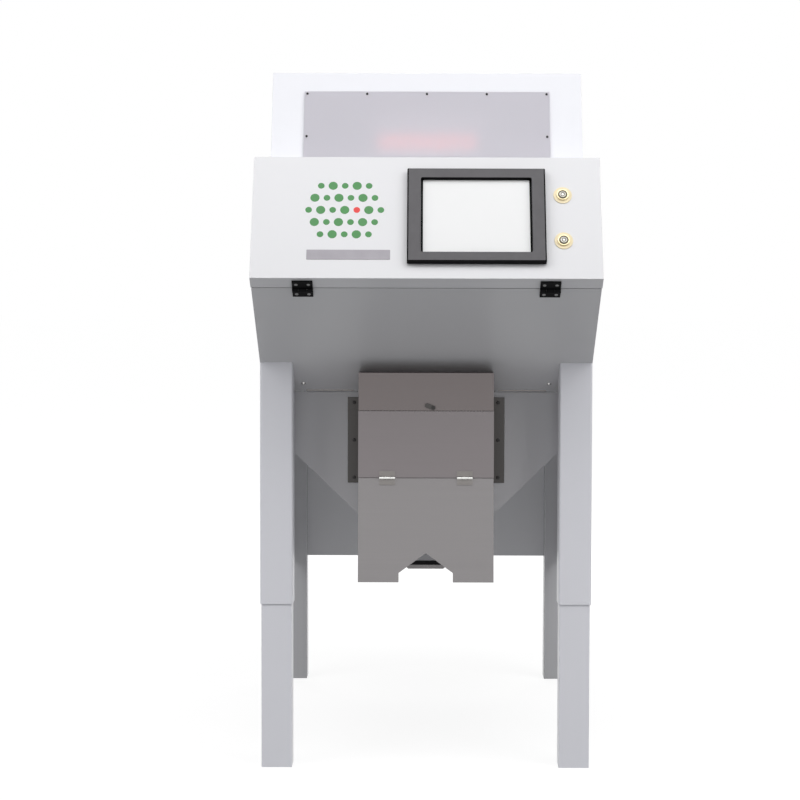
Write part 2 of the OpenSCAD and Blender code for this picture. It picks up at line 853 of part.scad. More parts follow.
module rear_panel()
    color("whitesmoke") leg_frame() difference() {
        union() {
            span([-rear_leg_x, rear_face_y - sheet, body_bottom_z], [rear_leg_x, rear_face_y, rear_top_z]);
            louvre_bank(rear_face_y - sheet, louvre_proud + sheet);
        }
        louvre_bank(rear_face_y - sheet - sheet, louvre_proud + sheet);
        translate([-service_x, rear_face_y + eps, service_z]) rotate([90, 0, 0])
            cylinder(r = air_body_r + knuckle_gap, h = sheet + 2 * eps);
        span([service_x - mains_half_w, rear_face_y - sheet - eps, service_z - mains_half_h],
             [service_x + mains_half_w, rear_face_y + eps, service_z + mains_half_h]);
    }

// Two banks of pressed louvres, open on their lower side
module louvre_bank(y, out)
    both_sides()
        for (k = [0 : louvres - 1])
            translate([0, y, rear_top_z - louvre_drop - k * louvre_pitch])
                yz_prism([[0, 0], [out, 0], [0, 2 * out]],
                         rear_leg_x / 2 - louvre_w / 2, rear_leg_x / 2 + louvre_w / 2);

// Feeder

// Side outline of the housing inside its skin, with its foot a little under the roof or on it
module housing_outline(inset, under) {
    slant = inset / cos(housing_tilt);
    lean = tan(housing_tilt);
    polygon([[housing_y + slant - under * lean, roof_z - under],
             [housing_y + slant + (housing_h - inset) * lean, housing_top_z - inset],
             [housing_back_y - inset, housing_top_z - inset],
             [housing_back_y - inset, roof_z - under]]);
}

module feeder_housing()
    color("white") difference() {
        leg_frame() {
            difference() {
                translate([-housing_w / 2, 0, 0]) rotate([90, 0, 90])
                    linear_extrude(housing_w) housing_outline(0, 0);
                translate([-housing_w / 2 + sheet, 0, 0]) rotate([90, 0, 90])
                    linear_extrude(housing_w - 2 * sheet) housing_outline(sheet, eps);
                span([-inlet_half_w, inlet_y, hopper_top_z - eps],
                     [inlet_half_w, inlet_y + inlet_d, housing_top_z + eps]);
            }
        }
        housing_frame()
            span([-window_w / 2 + window_lap, window_top - window_h + window_lap, -2 * sheet],
                 [window_w / 2 - window_lap, window_top - window_lap, eps]);
    }

module feeder_window()
    color("lavender", 0.6) housing_frame()
        span([-window_w / 2, window_top - window_h, window_seat],
             [window_w / 2, window_top, window_face]);

module window_screws() {
    side_x = window_w / 2 - screw_inset;
    top_s = window_top - screw_inset;
    color("silver") housing_frame() {
        for (k = [-2 : 2])
            translate([k * side_x / 2, top_s, window_face]) screw_head(screw_d, screw_h);
        for (k = [-1, 1])
            translate([k * side_x, top_s - side_screw_drop, window_face]) screw_head(screw_d, screw_h);
    }
}

// Four-sided funnel between two rectangles of half width and depth range
module hopper_solid(grow) {
    hull() {
        span([-inlet_half_w - grow, inlet_y - grow, hopper_top_z - steel],
             [inlet_half_w + grow, inlet_y + inlet_d + grow, hopper_top_z]);
        span([-hopper_out_half - grow, inlet_y - grow, hopper_out_z],
             [hopper_out_half + grow, inlet_y + hopper_out_d + grow, hopper_out_z + steel]);
    }
}

module hopper()
    color("lightsteelblue") leg_frame() difference() {
        union() {
            hopper_solid(steel);
            span([-inlet_half_w - hopper_rim, inlet_y - hopper_rim, hopper_top_z - steel],
                 [inlet_half_w + hopper_rim, inlet_y + inlet_d + hopper_rim, hopper_top_z]);
        }
        hopper_solid(0);
    }

module vibrator_base()
    color("gray") leg_frame()
        span([-drive_half_w, drive_y, roof_z], [drive_half_w, drive_y + drive_len, roof_z + base_h]);

module vibrator_drive()
    color("firebrick") leg_frame() difference() {
        span([-drive_half_w, drive_y, roof_z + base_h], [drive_half_w, drive_y + drive_len, drive_top_z]);
        for (y = spring_ys)
            span([-spring_half_w - eps, y - 2 * spring_t, spring_foot_z],
                 [spring_half_w + eps, y + 2 * spring_t, drive_top_z + eps]);
    }

module leaf_springs()
    color("dimgray") leg_frame()
        for (y = spring_ys)
            span([-spring_half_w, y - spring_t / 2, spring_foot_z],
                 [spring_half_w, y + spring_t / 2, spring_top_z]);

module feeder_tray() {
    slot = spring_t / 2 + tray_stroke + lug_clear;
    color("lightsteelblue") leg_frame() {
        difference() {
            span([-tray_half_w, tray_y, tray_z], [tray_half_w, tray_y + tray_len, tray_z + tray_wall_h]);
            span([-tray_half_w + steel, tray_y + steel, tray_z + steel],
                 [tray_half_w - steel, tray_y + tray_len + eps, tray_z + tray_wall_h + eps]);
        }
        for (y = spring_ys)
            difference() {
                span([-spring_half_w - lug_rim, y - lug_half, tray_z - lug_h],
                     [spring_half_w + lug_rim, y + lug_half, tray_z]);
                span([-spring_half_w - eps, y - slot, tray_z - lug_h - eps],
                     [spring_half_w + eps, y + slot, tray_z - lug_roof]);
            }
    }
}

// Sorting core

module core_plate() {
    front = [funnel_y + core_front_gap, passage_z0];
    heel_z = rail_z - core_drop;
    top_z = roof_z - core_roof_gap;
    leg_frame() difference() {
        yz_prism([front, front + [core_foot_run, core_foot_rise], [core_back_y - core_corner_d, heel_z],
                  [core_back_y, heel_z + core_corner_h], [core_back_y, top_z],
                  [roof_hole[0] - core_top_d, top_z], [front[0], core_front_z]],
                 core_half, core_out);
        translate([0, chute_y + core_hole_y, chute_z - core_hole_drop]) rotate([0, 90, 0])
            cylinder(r = core_hole_r, h = body_w);
    }
}

module core_plate_right() color("silver") core_plate();

module core_plate_left() color("silver") mirror([1, 0, 0]) core_plate();

module core_brackets()
    color("silver") leg_frame() both_sides()
        for (y = [funnel_y + bracket_front, core_back_y - bracket_back - bracket_len])
            translate([core_out, 0, rail_top_z])
                xz_prism([[0, 0], [bracket_w, 0], [bracket_w, bracket_t], [bracket_t, bracket_t],
                          [bracket_t, bracket_h], [0, bracket_h]],
                         y, y + bracket_len);

// Chute with a row of V channels down its length
module chute() {
    inner = core_half - chute_wall_t;
    pitch = 2 * inner / channels;
    ridges = [for (k = [0 : channels]) each (k < channels
        ? [[-inner + k * pitch, chute_t + channel_h], [-inner + (k + 0.5) * pitch, chute_t]]
        : [[inner, chute_t + channel_h]])];
    outline = concat([[core_half, 0], [-core_half, 0]],
                     [[-core_half, chute_wall_h], [-inner, chute_wall_h]], ridges,
                     [[inner, chute_wall_h], [core_half, chute_wall_h]]);
    color("lightsteelblue") leg_frame()
        translate([0, chute_y, chute_z]) rotate([chute_slope, 0, 0])
            xz_prism(outline, 0, chute_len);
}

// Sheet box of a Y, Z outline between the core plates, with a slot left open along one edge
module optics_box(outline, slot)
    leg_frame() difference() {
        yz_prism(outline, -core_half, core_half);
        yz_prism(inset_outline(outline, optics_t), -core_half + optics_t, core_half - optics_t);
        yz_prism(strip(slot[0], slot[1], -3 * optics_t, 3 * optics_t), -lamp_half, lamp_half);
    }

function inset_outline(points, d) =
    [for (i = [0 : len(points) - 1])
        let (n = len(points),
             a = points[(i + n - 1) % n], b = points[i], c = points[(i + 1) % n],
             u = (b - a) / norm(b - a), v = (c - b) / norm(c - b),
             turn = u[0] * v[1] - u[1] * v[0])
        b + d * (v - u) / turn];

// Part of a line, trimmed at both ends
function trimmed(a, b, d) = let (u = (b - a) / norm(b - a)) [a + u * d, b - u * d];

module front_optics_box()
    color("slategray") optics_box(front_box, trimmed(front_box[2], front_box[3], slot_end));

module rear_optics_box()
    color("slategray") optics_box(rear_box, trimmed(rear_box[4], rear_box[0], slot_end));

module optics_glass() {
    glass_half = core_half - glass_end;
    color("lightcyan", 0.5) leg_frame() {
        yz_prism(strip(front_box[2], front_box[3], -optics_glass_t, 0), -glass_half, glass_half);
        yz_prism(strip(rear_box[4], rear_box[0], -optics_glass_t, 0), -glass_half, glass_half);
    }
}

// Line camera at a place, with its lens towards the product stream and a stand on a wall of its box
module camera(place, wall_z) {
    aim = atan2(view_point[1] - place[1], view_point[0] - place[0]);
    middle = place - camera_l / 2 * [cos(aim), sin(aim)];
    leg_frame() union() {
        translate([0, place[0], place[1]]) rotate([aim - 90, 0, 0]) {
            translate([-camera_w / 2, -camera_w / 2, -camera_l]) cube([camera_w, camera_w, camera_l]);
            translate([0, 0, -eps]) cylinder(r = lens_r, h = lens_l + eps);
            translate([0, 0, lens_l - focus_ring_l]) cylinder(r = lens_r + focus_ring_h, h = focus_ring_l);
        }
        span([-stand_half_w, middle[0] - stand_half_d, min(wall_z, middle[1])],
             [stand_half_w, middle[0] + stand_half_d, max(wall_z, middle[1])]);
    }
}

module front_camera()
    color("dimgray") camera(front_start + front_lens, front_crown[1] - optics_t - optics_seat);

module rear_camera()
    color("dimgray") camera(rear_start + rear_lens, rear_foot[1] + optics_t + optics_seat);

module lamp_bars()
    color("ghostwhite") leg_frame() {
        lamp_bar(trimmed(front_box[1], front_box[2], front_lamp_set));
        lamp_bar(trimmed(rear_box[0], rear_box[1], rear_lamp_set));
    }

// Lamp bar near the start of a wall
module lamp_bar(line) {
    along = (line[1] - line[0]) / norm(line[1] - line[0]);
    yz_prism(strip(line[0], line[0] + lamp_d * along, optics_t + optics_seat, optics_t + lamp_h),
             -lamp_half, lamp_half);
}

// Manifold with a row of fine nozzles along its nose
module ejector_manifold() {
    count = floor(2 * (core_half - row_end) / nozzle_pitch);
    cheek_d = ejector_d - nose_d;
    color("silver") leg_frame() translate([0, ejector_y, ejector_z]) difference() {
        yz_prism([[0, -ejector_h / 2], [cheek_d, -ejector_h / 2], [ejector_d, -nose_h / 2],
                  [ejector_d, nose_h / 2], [cheek_d, ejector_h / 2], [0, ejector_h / 2]],
                 -core_half, core_half);
        for (k = [0 : count - 1])
            translate([(k - (count - 1) / 2) * nozzle_pitch, ejector_d + eps, 0]) rotate([90, 0, 0])
                cylinder(d = nozzle_d, h = nozzle_len + eps, $fn = 16);
    }
}

module ejector_valves() {
    pitch = 2 * (core_half - row_end) / valves;
    color("black") leg_frame()
        for (k = [0 : valves - 1])
            translate([(k - (valves - 1) / 2) * pitch, ejector_y - valve_d / 2, ejector_z])
                cube([valve_w, valve_d, valve_h], center = true);
}

module accept_slide() {
    foot = [funnel_y + sheet + steel, passage_z0];
    color("lightsteelblue") leg_frame()
        yz_prism(strip(foot, foot + [slide_run, slide_rise], 0, steel), -core_half, core_half);
}

// Funnel under the core

module funnel_front_plate()
    color("lightgray") leg_frame() difference() {
        xz_prism([[-mouth_half, funnel_mouth_z], [mouth_half, funnel_mouth_z],
                  [rail_x0, funnel_top_z], [rail_x0, floor_z(funnel_y) - seam_gap],
                  [-rail_x0, floor_z(funnel_y) - seam_gap], [-rail_x0, funnel_top_z]],
                 funnel_y, funnel_y + sheet);
        span([-passage_half, funnel_y - eps, passage_z0], [passage_half, funnel_y + sheet + eps, passage_z1]);
    }

module reject_funnel() {
    y0 = funnel_y + sheet;
    back = [y0 + mouth_d, funnel_mouth_z];
    top = [y0 + funnel_d, funnel_top_z];
    rim_z = funnel_top_z + funnel_rim;
    side = [rail_x0 - mouth_half, funnel_top_z - funnel_mouth_z];
    side_t = sheet * norm(side) / side[1];
    color("lightgray") leg_frame() {
        intersection() {
            both_sides()
                xz_prism([[mouth_half, funnel_mouth_z], [rail_x0, funnel_top_z], [rail_x0, rim_z],
                          [rail_x0 - sheet, rim_z], [rail_x0 - sheet, funnel_top_z],
                          [mouth_half - side_t, funnel_mouth_z]],
                         y0, y0 + funnel_d);
            yz_prism([[y0, funnel_mouth_z], back, top, [top[0], rim_z], [y0, rim_z]], -half_w, half_w);
        }
        intersection() {
            yz_prism(strip(back, top, 0, sheet), -half_w, half_w);
            xz_prism([[-mouth_half, funnel_mouth_z], [mouth_half, funnel_mouth_z], [rail_x0, funnel_top_z],
                      [-rail_x0, funnel_top_z]], y0, y0 + funnel_d + sheet);
        }
    }
}

// Square ring hung under the funnel's mouth, with its lower corners cut off at both sides
module mouth_ring(top_z, h, chamfer) {
    y0 = funnel_y + sheet;
    w = mouth_half;
    leg_frame() translate([0, 0, top_z - h]) difference() {
        xz_prism([[-w, h], [-w, chamfer], [-w + chamfer, 0], [w - chamfer, 0], [w, chamfer], [w, h]],
                 y0, y0 + mouth_d);
        span([-w + collar_t, y0 + collar_t, -eps], [w - collar_t, y0 + mouth_d - collar_t, h + eps]);
    }
}

module funnel_seal()
    color("black") mouth_ring(funnel_mouth_z, seal_h, 0);

module funnel_collar()
    color("tan") mouth_ring(funnel_mouth_z - seal_h, collar_h, collar_chamfer);

// Spout

module spout_flange()
    color("dimgray") leg_frame() difference() {
        span([-flange_w / 2, flange_y, flange_z], [flange_w / 2, funnel_y, flange_z + flange_h]);
        span([-passage_half, flange_y - eps, passage_z0], [passage_half, funnel_y + eps, passage_z1]);
    }

module flange_screws()
    color("silver") leg_frame() both_sides()
        for (z = screw_rows)
            translate([flange_w / 2 - flange_screw_inset, flange_y, z]) rotate([90, 0, 0])
                screw_head(flange_screw_d, screw_h);

module spout_box() {
    edge = steel + seat_gap;
    top_back = [flange_y, passage_z1];
    top_bend = [spout_top_y, spout_top_z];
    foot_back = [flange_y, passage_z0];
    mouth_back = [flange_y - mouth_run, apron_foot[1] + mouth_rise];
    color("rosybrown") leg_frame() {
        both_sides()
            yz_prism([top_back, top_bend, [spout_y, spout_top_z], [spout_y, door_top_z],
                      [spout_y + edge, door_top_z], door_foot + [edge, 0],
                      apron_foot + [edge / cos(apron_tilt), 0], apron_foot + [edge + side_foot, 0],
                      mouth_back, foot_back],
                     spout_half - steel, spout_half);
        span([-spout_half, spout_y, door_top_z], [spout_half, spout_y + steel, spout_top_z]);
        span([-spout_half, spout_y, spout_top_z - steel], [spout_half, spout_top_y, spout_top_z]);
        yz_prism(strip(top_back, top_bend, 0, steel), -spout_half, spout_half);
        yz_prism(strip(mouth_back, foot_back, 0, steel), -spout_half, spout_half);
    }
}

module spout_apron()
    color("silver") seam_frame(apron_tilt) difference() {
        span([-spout_half, -apron_len, -steel], [spout_half, -door_gap / 2, 0]);
        translate([0, -apron_len, -steel - eps]) linear_extrude(steel + 2 * eps)
            polygon([[-notch_half, -eps], [notch_half, -eps], [notch_half, notch_side_h],
                     [0, notch_h], [-notch_half, notch_side_h]]);
    }

module inspection_door()
    color("silver") seam_frame(door_tilt)
        span([-spout_half - door_extra / 2, door_gap / 2, -steel],
             [spout_half + door_extra / 2, door_len - door_gap, 0]);

module door_hinge_places(shift)
    for (x = [-door_hinge_x, door_hinge_x])
        translate([x, shift, 0]) children();

module door_hinge_leaves()
    color("gray") seam_frame(door_tilt) door_hinge_places(hinge_shift)
        hinge_leaf(door_hinge_w, door_leaf, door_leaf_t, door_knuckle_r, door_pin_r + pin_gap,
                   middle_knuckle(door_hinge_w));

module apron_hinge_leaves()
    color("gray") seam_frame(apron_tilt) door_hinge_places(-hinge_shift) mirror([0, 1, 0])
        hinge_leaf(door_hinge_w, door_leaf, door_leaf_t, door_knuckle_r, door_pin_r + pin_gap,
                   outer_knuckles(door_hinge_w));

module door_hinge_pins()
    color("silver") seam_frame(apron_tilt) door_hinge_places(-hinge_shift)
        translate([-door_hinge_w / 2, 0, door_knuckle_r + knuckle_gap]) rotate([0, 90, 0])
            cylinder(r = door_pin_r, h = door_hinge_w);

module latch_frame()
    leg_frame() translate([latch_x, spout_y, door_top_z + latch_rise]) rotate([90, 0, 0]) children();

module door_latch()
    color("dimgray") latch_frame() translate([0, 0, latch_stand]) rotate(180 - latch_angle) difference() {
        union() {
            cylinder(d = latch_w, h = latch_t);
            translate([0, -latch_w / 2, 0]) cube([latch_len - latch_w / 2, latch_w, latch_t]);
            translate([latch_len - latch_w / 2, 0, 0]) cylinder(d = latch_w, h = latch_t);
        }
        translate([0, 0, -eps]) cylinder(r = pivot_r + pin_gap, h = latch_t + 2 * eps);
    }

// Pivot with a collar under the latch and a head over it
module latch_pivot() {
    head_z = latch_stand + latch_t + seat_gap;
    color("silver") latch_frame() union() {
        cylinder(r = pivot_head_r, h = latch_stand - seat_gap);
        cylinder(r = pivot_r, h = head_z);
        translate([0, 0, head_z]) cylinder(r = pivot_head_r, h = pivot_head_t);
    }
}

// Control cover

module control_cover() {
    top_lean = tan(panel_tilt);
    foot_lean = tan(bend);
    deep = cover_depth + eps;
    color("white") panel_frame() difference() {
        yz_prism([[0, 0], [panel_len, 0], [panel_len + cover_depth * top_lean, -cover_depth],
                  [cover_depth * foot_lean, -cover_depth]],
                 -cover_w / 2, cover_w / 2);
        yz_prism([[sheet / cos(bend) + sheet * foot_lean, -sheet],
                  [panel_len - sheet / cos(panel_tilt) + sheet * top_lean, -sheet],
                  [panel_len - sheet / cos(panel_tilt) + deep * top_lean, -deep],
                  [sheet / cos(bend) + deep * foot_lean, -deep]],
                 -cover_w / 2 + sheet, cover_w / 2 - sheet);
        span([screen_x - bezel_w / 2 + pc_rim, bezel_s + pc_rim, -2 * sheet],
             [screen_x + bezel_w / 2 - pc_rim, bezel_s + bezel_h - pc_rim, eps]);
        button_places()
            translate([0, 0, -2 * sheet]) cylinder(d = barrel_d + 2 * knuckle_gap, h = 2 * sheet + eps);
    }
}

module button_places()
    for (s = [button_low_s, button_low_s + button_pitch])
        translate([button_x, s, 0]) children();

module screen_bezel()
    color("dimgray") panel_frame() difference() {
        translate([screen_x, bezel_s, 0]) round_plate(bezel_w, bezel_h, bezel_t, bezel_r);
        span([screen_x - display_w / 2, bezel_s + (bezel_h - display_h) / 2, -eps],
             [screen_x + display_w / 2, bezel_s + (bezel_h + display_h) / 2, bezel_t + eps]);
    }

module display() {
    fit = seat_gap;
    color("white") panel_frame()
        span([screen_x - display_w / 2 + fit, bezel_s + (bezel_h - display_h) / 2 + fit, 0],
             [screen_x + display_w / 2 - fit, bezel_s + (bezel_h + display_h) / 2 - fit, glass_t]);
}

// Panel computer behind the screen, with cooling fins on its back
module panel_computer() {
    x0 = screen_x - bezel_w / 2 + pc_rim + seat_gap;
    x1 = screen_x + bezel_w / 2 - pc_rim - seat_gap;
    s0 = bezel_s + pc_rim + seat_gap;
    s1 = bezel_s + bezel_h - pc_rim - seat_gap;
    fins = floor((x1 - x0 - 2 * fin_margin) / fin_pitch);
    color("silver") panel_frame() union() {
        span([x0, s0, fin_h - pc_depth], [x1, s1, 0]);
        for (k = [0 : fins])
            translate([screen_x + (k - fins / 2) * fin_pitch - fin_t / 2, s0 + fin_margin, -pc_depth])
                cube([fin_t, s1 - s0 - 2 * fin_margin, fin_h + eps]);
    }
}

module button_discs()
    color("khaki") panel_frame() button_places() difference() {
        cylinder(d = disc_d, h = disc_t);
        translate([0, 0, -eps]) cylinder(d = barrel_d + 2 * knuckle_gap, h = disc_t + 2 * eps);
    }

// Ring, barrel and nut that hold a button in the cover
module button_barrels()
    color("darkolivegreen") panel_frame() button_places() {
        difference() {
            union() {
                translate([0, 0, disc_t]) cylinder(d = ring_d, h = ring_h);
                translate([0, 0, -barrel_len]) cylinder(d = barrel_d, h = barrel_len + disc_t + eps);
            }
            translate([0, 0, disc_t + ring_h - button_stem - button_travel - eps])
                cylinder(d = button_d + 2 * button_gap, h = barrel_len);
        }
        translate([0, 0, -sheet - nut_t]) difference() {
            cylinder(d = nut_d, h = nut_t, $fn = 6);
            translate([0, 0, -eps]) cylinder(d = barrel_d + 2 * pin_gap, h = nut_t + 2 * eps);
        }
    }

// Push button with a shallow dish in its face
module push_button(s) {
    len = button_stem + button_rise;
    dish_d = button_d - 2 * button_rim;
    panel_frame() translate([button_x, s, disc_t + ring_h - button_stem]) difference() {
        cylinder(d = button_d, h = len);
        translate([0, 0, len + dome_r(dish_d, button_dish) - button_dish])
            sphere(r = dome_r(dish_d, button_dish), $fn = 96);
    }
}

module button_upper() color("silver") push_button(button_low_s + button_pitch);

module button_lower() color("silver") push_button(button_low_s);

// Cover hinges, flat on the console floor across the seam

module cover_hinge_places()
    floor_frame() translate([0, seam_s, 0])
        for (x = [-cover_hinge_x, cover_hinge_x])
            translate([x, 0, 0]) mirror([0, 0, 1]) children();

module console_hinge_leaves()
    color("black") cover_hinge_places()
        hinge_leaf(cover_hinge_w, cover_leaf, cover_leaf_t, cover_knuckle_r, cover_pin_r + pin_gap,
                   outer_knuckles(cover_hinge_w));

module cover_hinge_leaves()
    color("black") cover_hinge_places() mirror([0, 1, 0])
        hinge_leaf(cover_hinge_w, cover_leaf, cover_leaf_t, cover_knuckle_r, cover_pin_r + pin_gap,
                   middle_knuckle(cover_hinge_w));

module cover_hinge_pins()
    color("silver") cover_hinge_places()
        translate([-cover_hinge_w / 2, 0, cover_knuckle_r + knuckle_gap]) rotate([0, 90, 0])
            cylinder(r = cover_pin_r, h = cover_hinge_w);

// Equipment at the back

module equipment_shelf()
    color("lightgray") leg_frame()
        span([-rail_x1, shelf_y, rail_top_z], [rail_x1, shelf_y + shelf_len, rail_top_z + sheet]);

module electronics()
    color("lightgray") leg_frame() translate([0, shelf_y + box_inset, rail_top_z + sheet]) {
        translate([-box_inset - box_w, 0, 0]) cube([box_w, box_d, box_h]);
        translate([box_inset, 0, 0]) cube([supply_w, supply_d, supply_h]);
    }

// Tube of the air inlet through the rear panel, with its nut outside
module air_inlet()
    rotate([-90, 0, 0]) difference() {
        union() {
            translate([0, 0, -air_len]) cylinder(r = air_body_r, h = air_len + rear_inset - air_inset);
            cylinder(r = air_body_r + air_nut_rim, h = air_nut_t, $fn = 6);
        }
        translate([0, 0, -air_bore_len]) cylinder(r = air_bore_r, h = air_bore_len + rear_inset);
    }

// Mains inlet in its cut-out, with three pins in its socket
module mains_inlet() {
    fit_w = mains_half_w - seat_gap;
    fit_h = mains_half_h - seat_gap;
    difference() {
        union() {
            span([-mains_half_w - mains_rim, 0, -mains_half_h - mains_rim],
                 [mains_half_w + mains_rim, mains_rim_t, mains_half_h + mains_rim]);
            span([-fit_w, -mains_len, -fit_h], [fit_w, eps, fit_h]);
        }
        span([-socket_half_w, -socket_d, -socket_half_h], [socket_half_w, mains_rim_t + eps, socket_half_h]);
    }
    for (k = [-1 : 1])
        translate([k * pin_pitch - mains_pin_t / 2, -socket_d, -mains_pin_h / 2])
            cube([mains_pin_t, mains_pin_l, mains_pin_h]);
}

module rear_services()
    color("dimgray") leg_frame() translate([0, rear_face_y, service_z]) {
        translate([-service_x, 0, 0]) air_inlet();
        translate([service_x, 0, 0]) mains_inlet();
    }

front_posts();
front_legs();
rear_legs();
side_rails();
side_panel_left();
side_panel_right();
console_floor();
roof_panel();
rear_hood();
rear_panel();
post_bolts();
feeder_housing();
feeder_window();
window_screws();
hopper();
vibrator_base();
vibrator_drive();
leaf_springs();
feeder_tray();
core_plate_left();
core_plate_right();
core_brackets();
chute();
front_optics_box();
rear_optics_box();
optics_glass();
front_camera();
rear_camera();
lamp_bars();
ejector_manifold();
ejector_valves();
accept_slide();
funnel_front_plate();
reject_funnel();
funnel_seal();
funnel_collar();
spout_flange();
flange_screws();
spout_box();
spout_apron();
inspection_door();
apron_hinge_leaves();
door_hinge_leaves();
door_hinge_pins();
door_latch();
latch_pivot();
control_cover();
console_hinge_leaves();
cover_hinge_leaves();
cover_hinge_pins();
screen_bezel();
display();
panel_computer();
button_discs();
button_barrels();
button_upper();
button_lower();
equipment_shelf();
electronics();
rear_services();
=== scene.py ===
"""Looks of the optical colour sorter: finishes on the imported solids, fasteners and trim, light and camera.

Every length is in metres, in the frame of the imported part: X to the right, the front faces -Y, Z up.
"""
import json
import math

import bmesh
import bpy
from mathutils import Matrix, Vector


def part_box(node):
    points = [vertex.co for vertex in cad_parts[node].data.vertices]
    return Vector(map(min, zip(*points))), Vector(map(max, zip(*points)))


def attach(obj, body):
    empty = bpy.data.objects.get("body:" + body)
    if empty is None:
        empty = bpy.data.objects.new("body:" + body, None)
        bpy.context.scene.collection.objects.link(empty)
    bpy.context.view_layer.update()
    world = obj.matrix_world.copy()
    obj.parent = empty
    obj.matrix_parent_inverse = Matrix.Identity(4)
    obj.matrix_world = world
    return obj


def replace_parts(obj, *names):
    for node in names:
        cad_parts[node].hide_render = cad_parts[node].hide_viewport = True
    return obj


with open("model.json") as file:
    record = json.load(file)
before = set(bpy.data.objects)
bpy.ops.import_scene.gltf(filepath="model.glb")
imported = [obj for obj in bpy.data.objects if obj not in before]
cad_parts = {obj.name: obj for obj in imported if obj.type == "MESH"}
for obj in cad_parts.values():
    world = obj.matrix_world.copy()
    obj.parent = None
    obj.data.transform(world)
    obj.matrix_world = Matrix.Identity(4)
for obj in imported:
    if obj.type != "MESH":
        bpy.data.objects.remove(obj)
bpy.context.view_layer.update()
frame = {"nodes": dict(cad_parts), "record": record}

NODES = frame["nodes"]
SLOT_OF = {part["node"]: part["material_slot"] for part in frame["record"]["subparts"]}
MM = 0.001


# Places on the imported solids


def face_frame(node, towards):
    """Matrix of the largest flat face of a node that looks some way.

    Its x axis is the part's X, its y axis runs up the face from the lower edge, and its z axis points out.
    """
    towards = Vector(towards).normalized()
    least_cosine = 0.7
    groups = {}
    for polygon in NODES[node].data.polygons:
        normal = polygon.normal
        if normal.dot(towards) > least_cosine:
            key = (round(normal.y, 2), round(normal.z, 2), round(normal.dot(polygon.center), 4))
            area, first_normal, corners = groups.get(key, (0.0, normal.copy(), []))
            groups[key] = (area + polygon.area, first_normal, corners + list(polygon.vertices))
    _, normal, corners = max(groups.values(), key=lambda group: group[0])
    right = Vector((1, 0, 0))
    up = normal.cross(right).normalized()
    points = [NODES[node].data.vertices[i].co for i in corners]
    low = min(point.dot(up) for point in points)
    matrix = Matrix((right, up, normal)).transposed().to_4x4()
    matrix.translation = up * low + normal * points[0].dot(normal)
    return matrix


def islands(node):
    """Corners of each separate solid of a node, from left to right and from below."""
    mesh = bmesh.new()
    mesh.from_mesh(NODES[node].data)
    bmesh.ops.remove_doubles(mesh, verts=mesh.verts, dist=1e-6)
    left = set(mesh.verts)
    groups = []
    while left:
        todo = [left.pop()]
        group = []
        while todo:
            vert = todo.pop()
            group.append(vert.co.copy())
            for edge in vert.link_edges:
                other = edge.other_vert(vert)
                if other in left:
                    left.discard(other)
                    todo.append(other)
        groups.append(group)
    mesh.free()
    return sorted(groups, key=lambda group: tuple(round(value, 3) for value in middle(group)))


def extent(points):
    """Lowest and highest value of each coordinate."""
    low = Vector([min(point[k] for point in points) for k in range(3)])
    high = Vector([max(point[k] for point in points) for k in range(3)])
    return low, high


def middle(points):
    low, high = extent(points)
    return (low + high) / 2


# Materials


class Finish:
    """One procedural material: a principled shader and the nodes that feed it."""

    def __init__(self, name, **values):
        self.material = bpy.data.materials.new(name)
        self.material.use_nodes = True
        self.tree = self.material.node_tree
        self.shader = self.tree.nodes["Principled BSDF"]
        self.place = self.add("ShaderNodeTexCoord").outputs["Object"]
        for socket, value in values.items():
            self.shader.inputs[socket.replace("_", " ")].default_value = value

    def add(self, kind, **settings):
        node = self.tree.nodes.new(kind)
        for key, value in settings.items():
            setattr(node, key, value)
        return node

    def link(self, output, socket):
        self.tree.links.new(output, socket)

    def noise(self, scale, stretch=(1, 1, 1), detail=2.0):
        mapping = self.add("ShaderNodeMapping")
        mapping.inputs["Scale"].default_value = stretch
        self.link(self.place, mapping.inputs["Vector"])
        noise = self.add("ShaderNodeTexNoise")
        noise.inputs["Scale"].default_value = scale
        noise.inputs["Detail"].default_value = detail
        self.link(mapping.outputs["Vector"], noise.inputs["Vector"])
        return noise.outputs["Fac"]

    def spread(self, factor, low, high):
        """Noise of about 0.3 to 0.7 spread over a range of values."""
        node = self.add("ShaderNodeMapRange")
        node.inputs["From Min"].default_value = 0.3
        node.inputs["From Max"].default_value = 0.7
        node.inputs["To Min"].default_value = low
        node.inputs["To Max"].default_value = high
        self.link(factor, node.inputs["Value"])
        return node.outputs["Result"]

    def ramp(self, factor, *stops):
        """Colour by factor, from stops of (place, colour)."""
        node = self.add("ShaderNodeValToRGB")
        elements = node.color_ramp.elements
        while len(elements) < len(stops):
            elements.new(0.5)
        for element, (place, colour) in zip(elements, stops):
            element.position = place
            element.color = (*colour, 1)
        self.link(factor, node.inputs["Fac"])
        return node.outputs["Color"]

    def tones(self, factor, colour, darker, lighter):
        """Noise of about 0.3 to 0.7 as a colour between a darker and a lighter tone of itself."""
        return self.ramp(factor, (0.3, shade(colour, darker)), (0.7, shade(colour, lighter)))

    def blend(self, factor, first, second):
        """Mix of two colour outputs."""
        node = self.add("ShaderNodeMix", data_type="RGBA")
        self.link(factor, node.inputs["Factor"])
        self.link(first, node.inputs[6])
        self.link(second, node.inputs[7])
        return node.outputs[2]

    def colour(self, output):
        self.link(output, self.shader.inputs["Base Color"])

    def rough(self, output):
        self.link(output, self.shader.inputs["Roughness"])

    def bump(self, height, depth, strength):
        node = self.add("ShaderNodeBump")
        node.inputs["Strength"].default_value = strength
        node.inputs["Distance"].default_value = depth
        self.link(height, node.inputs["Height"])
        self.link(node.outputs["Normal"], self.shader.inputs["Normal"])


def shade(colour, factor):
    return tuple(min(1.0, channel * factor) for channel in colour)


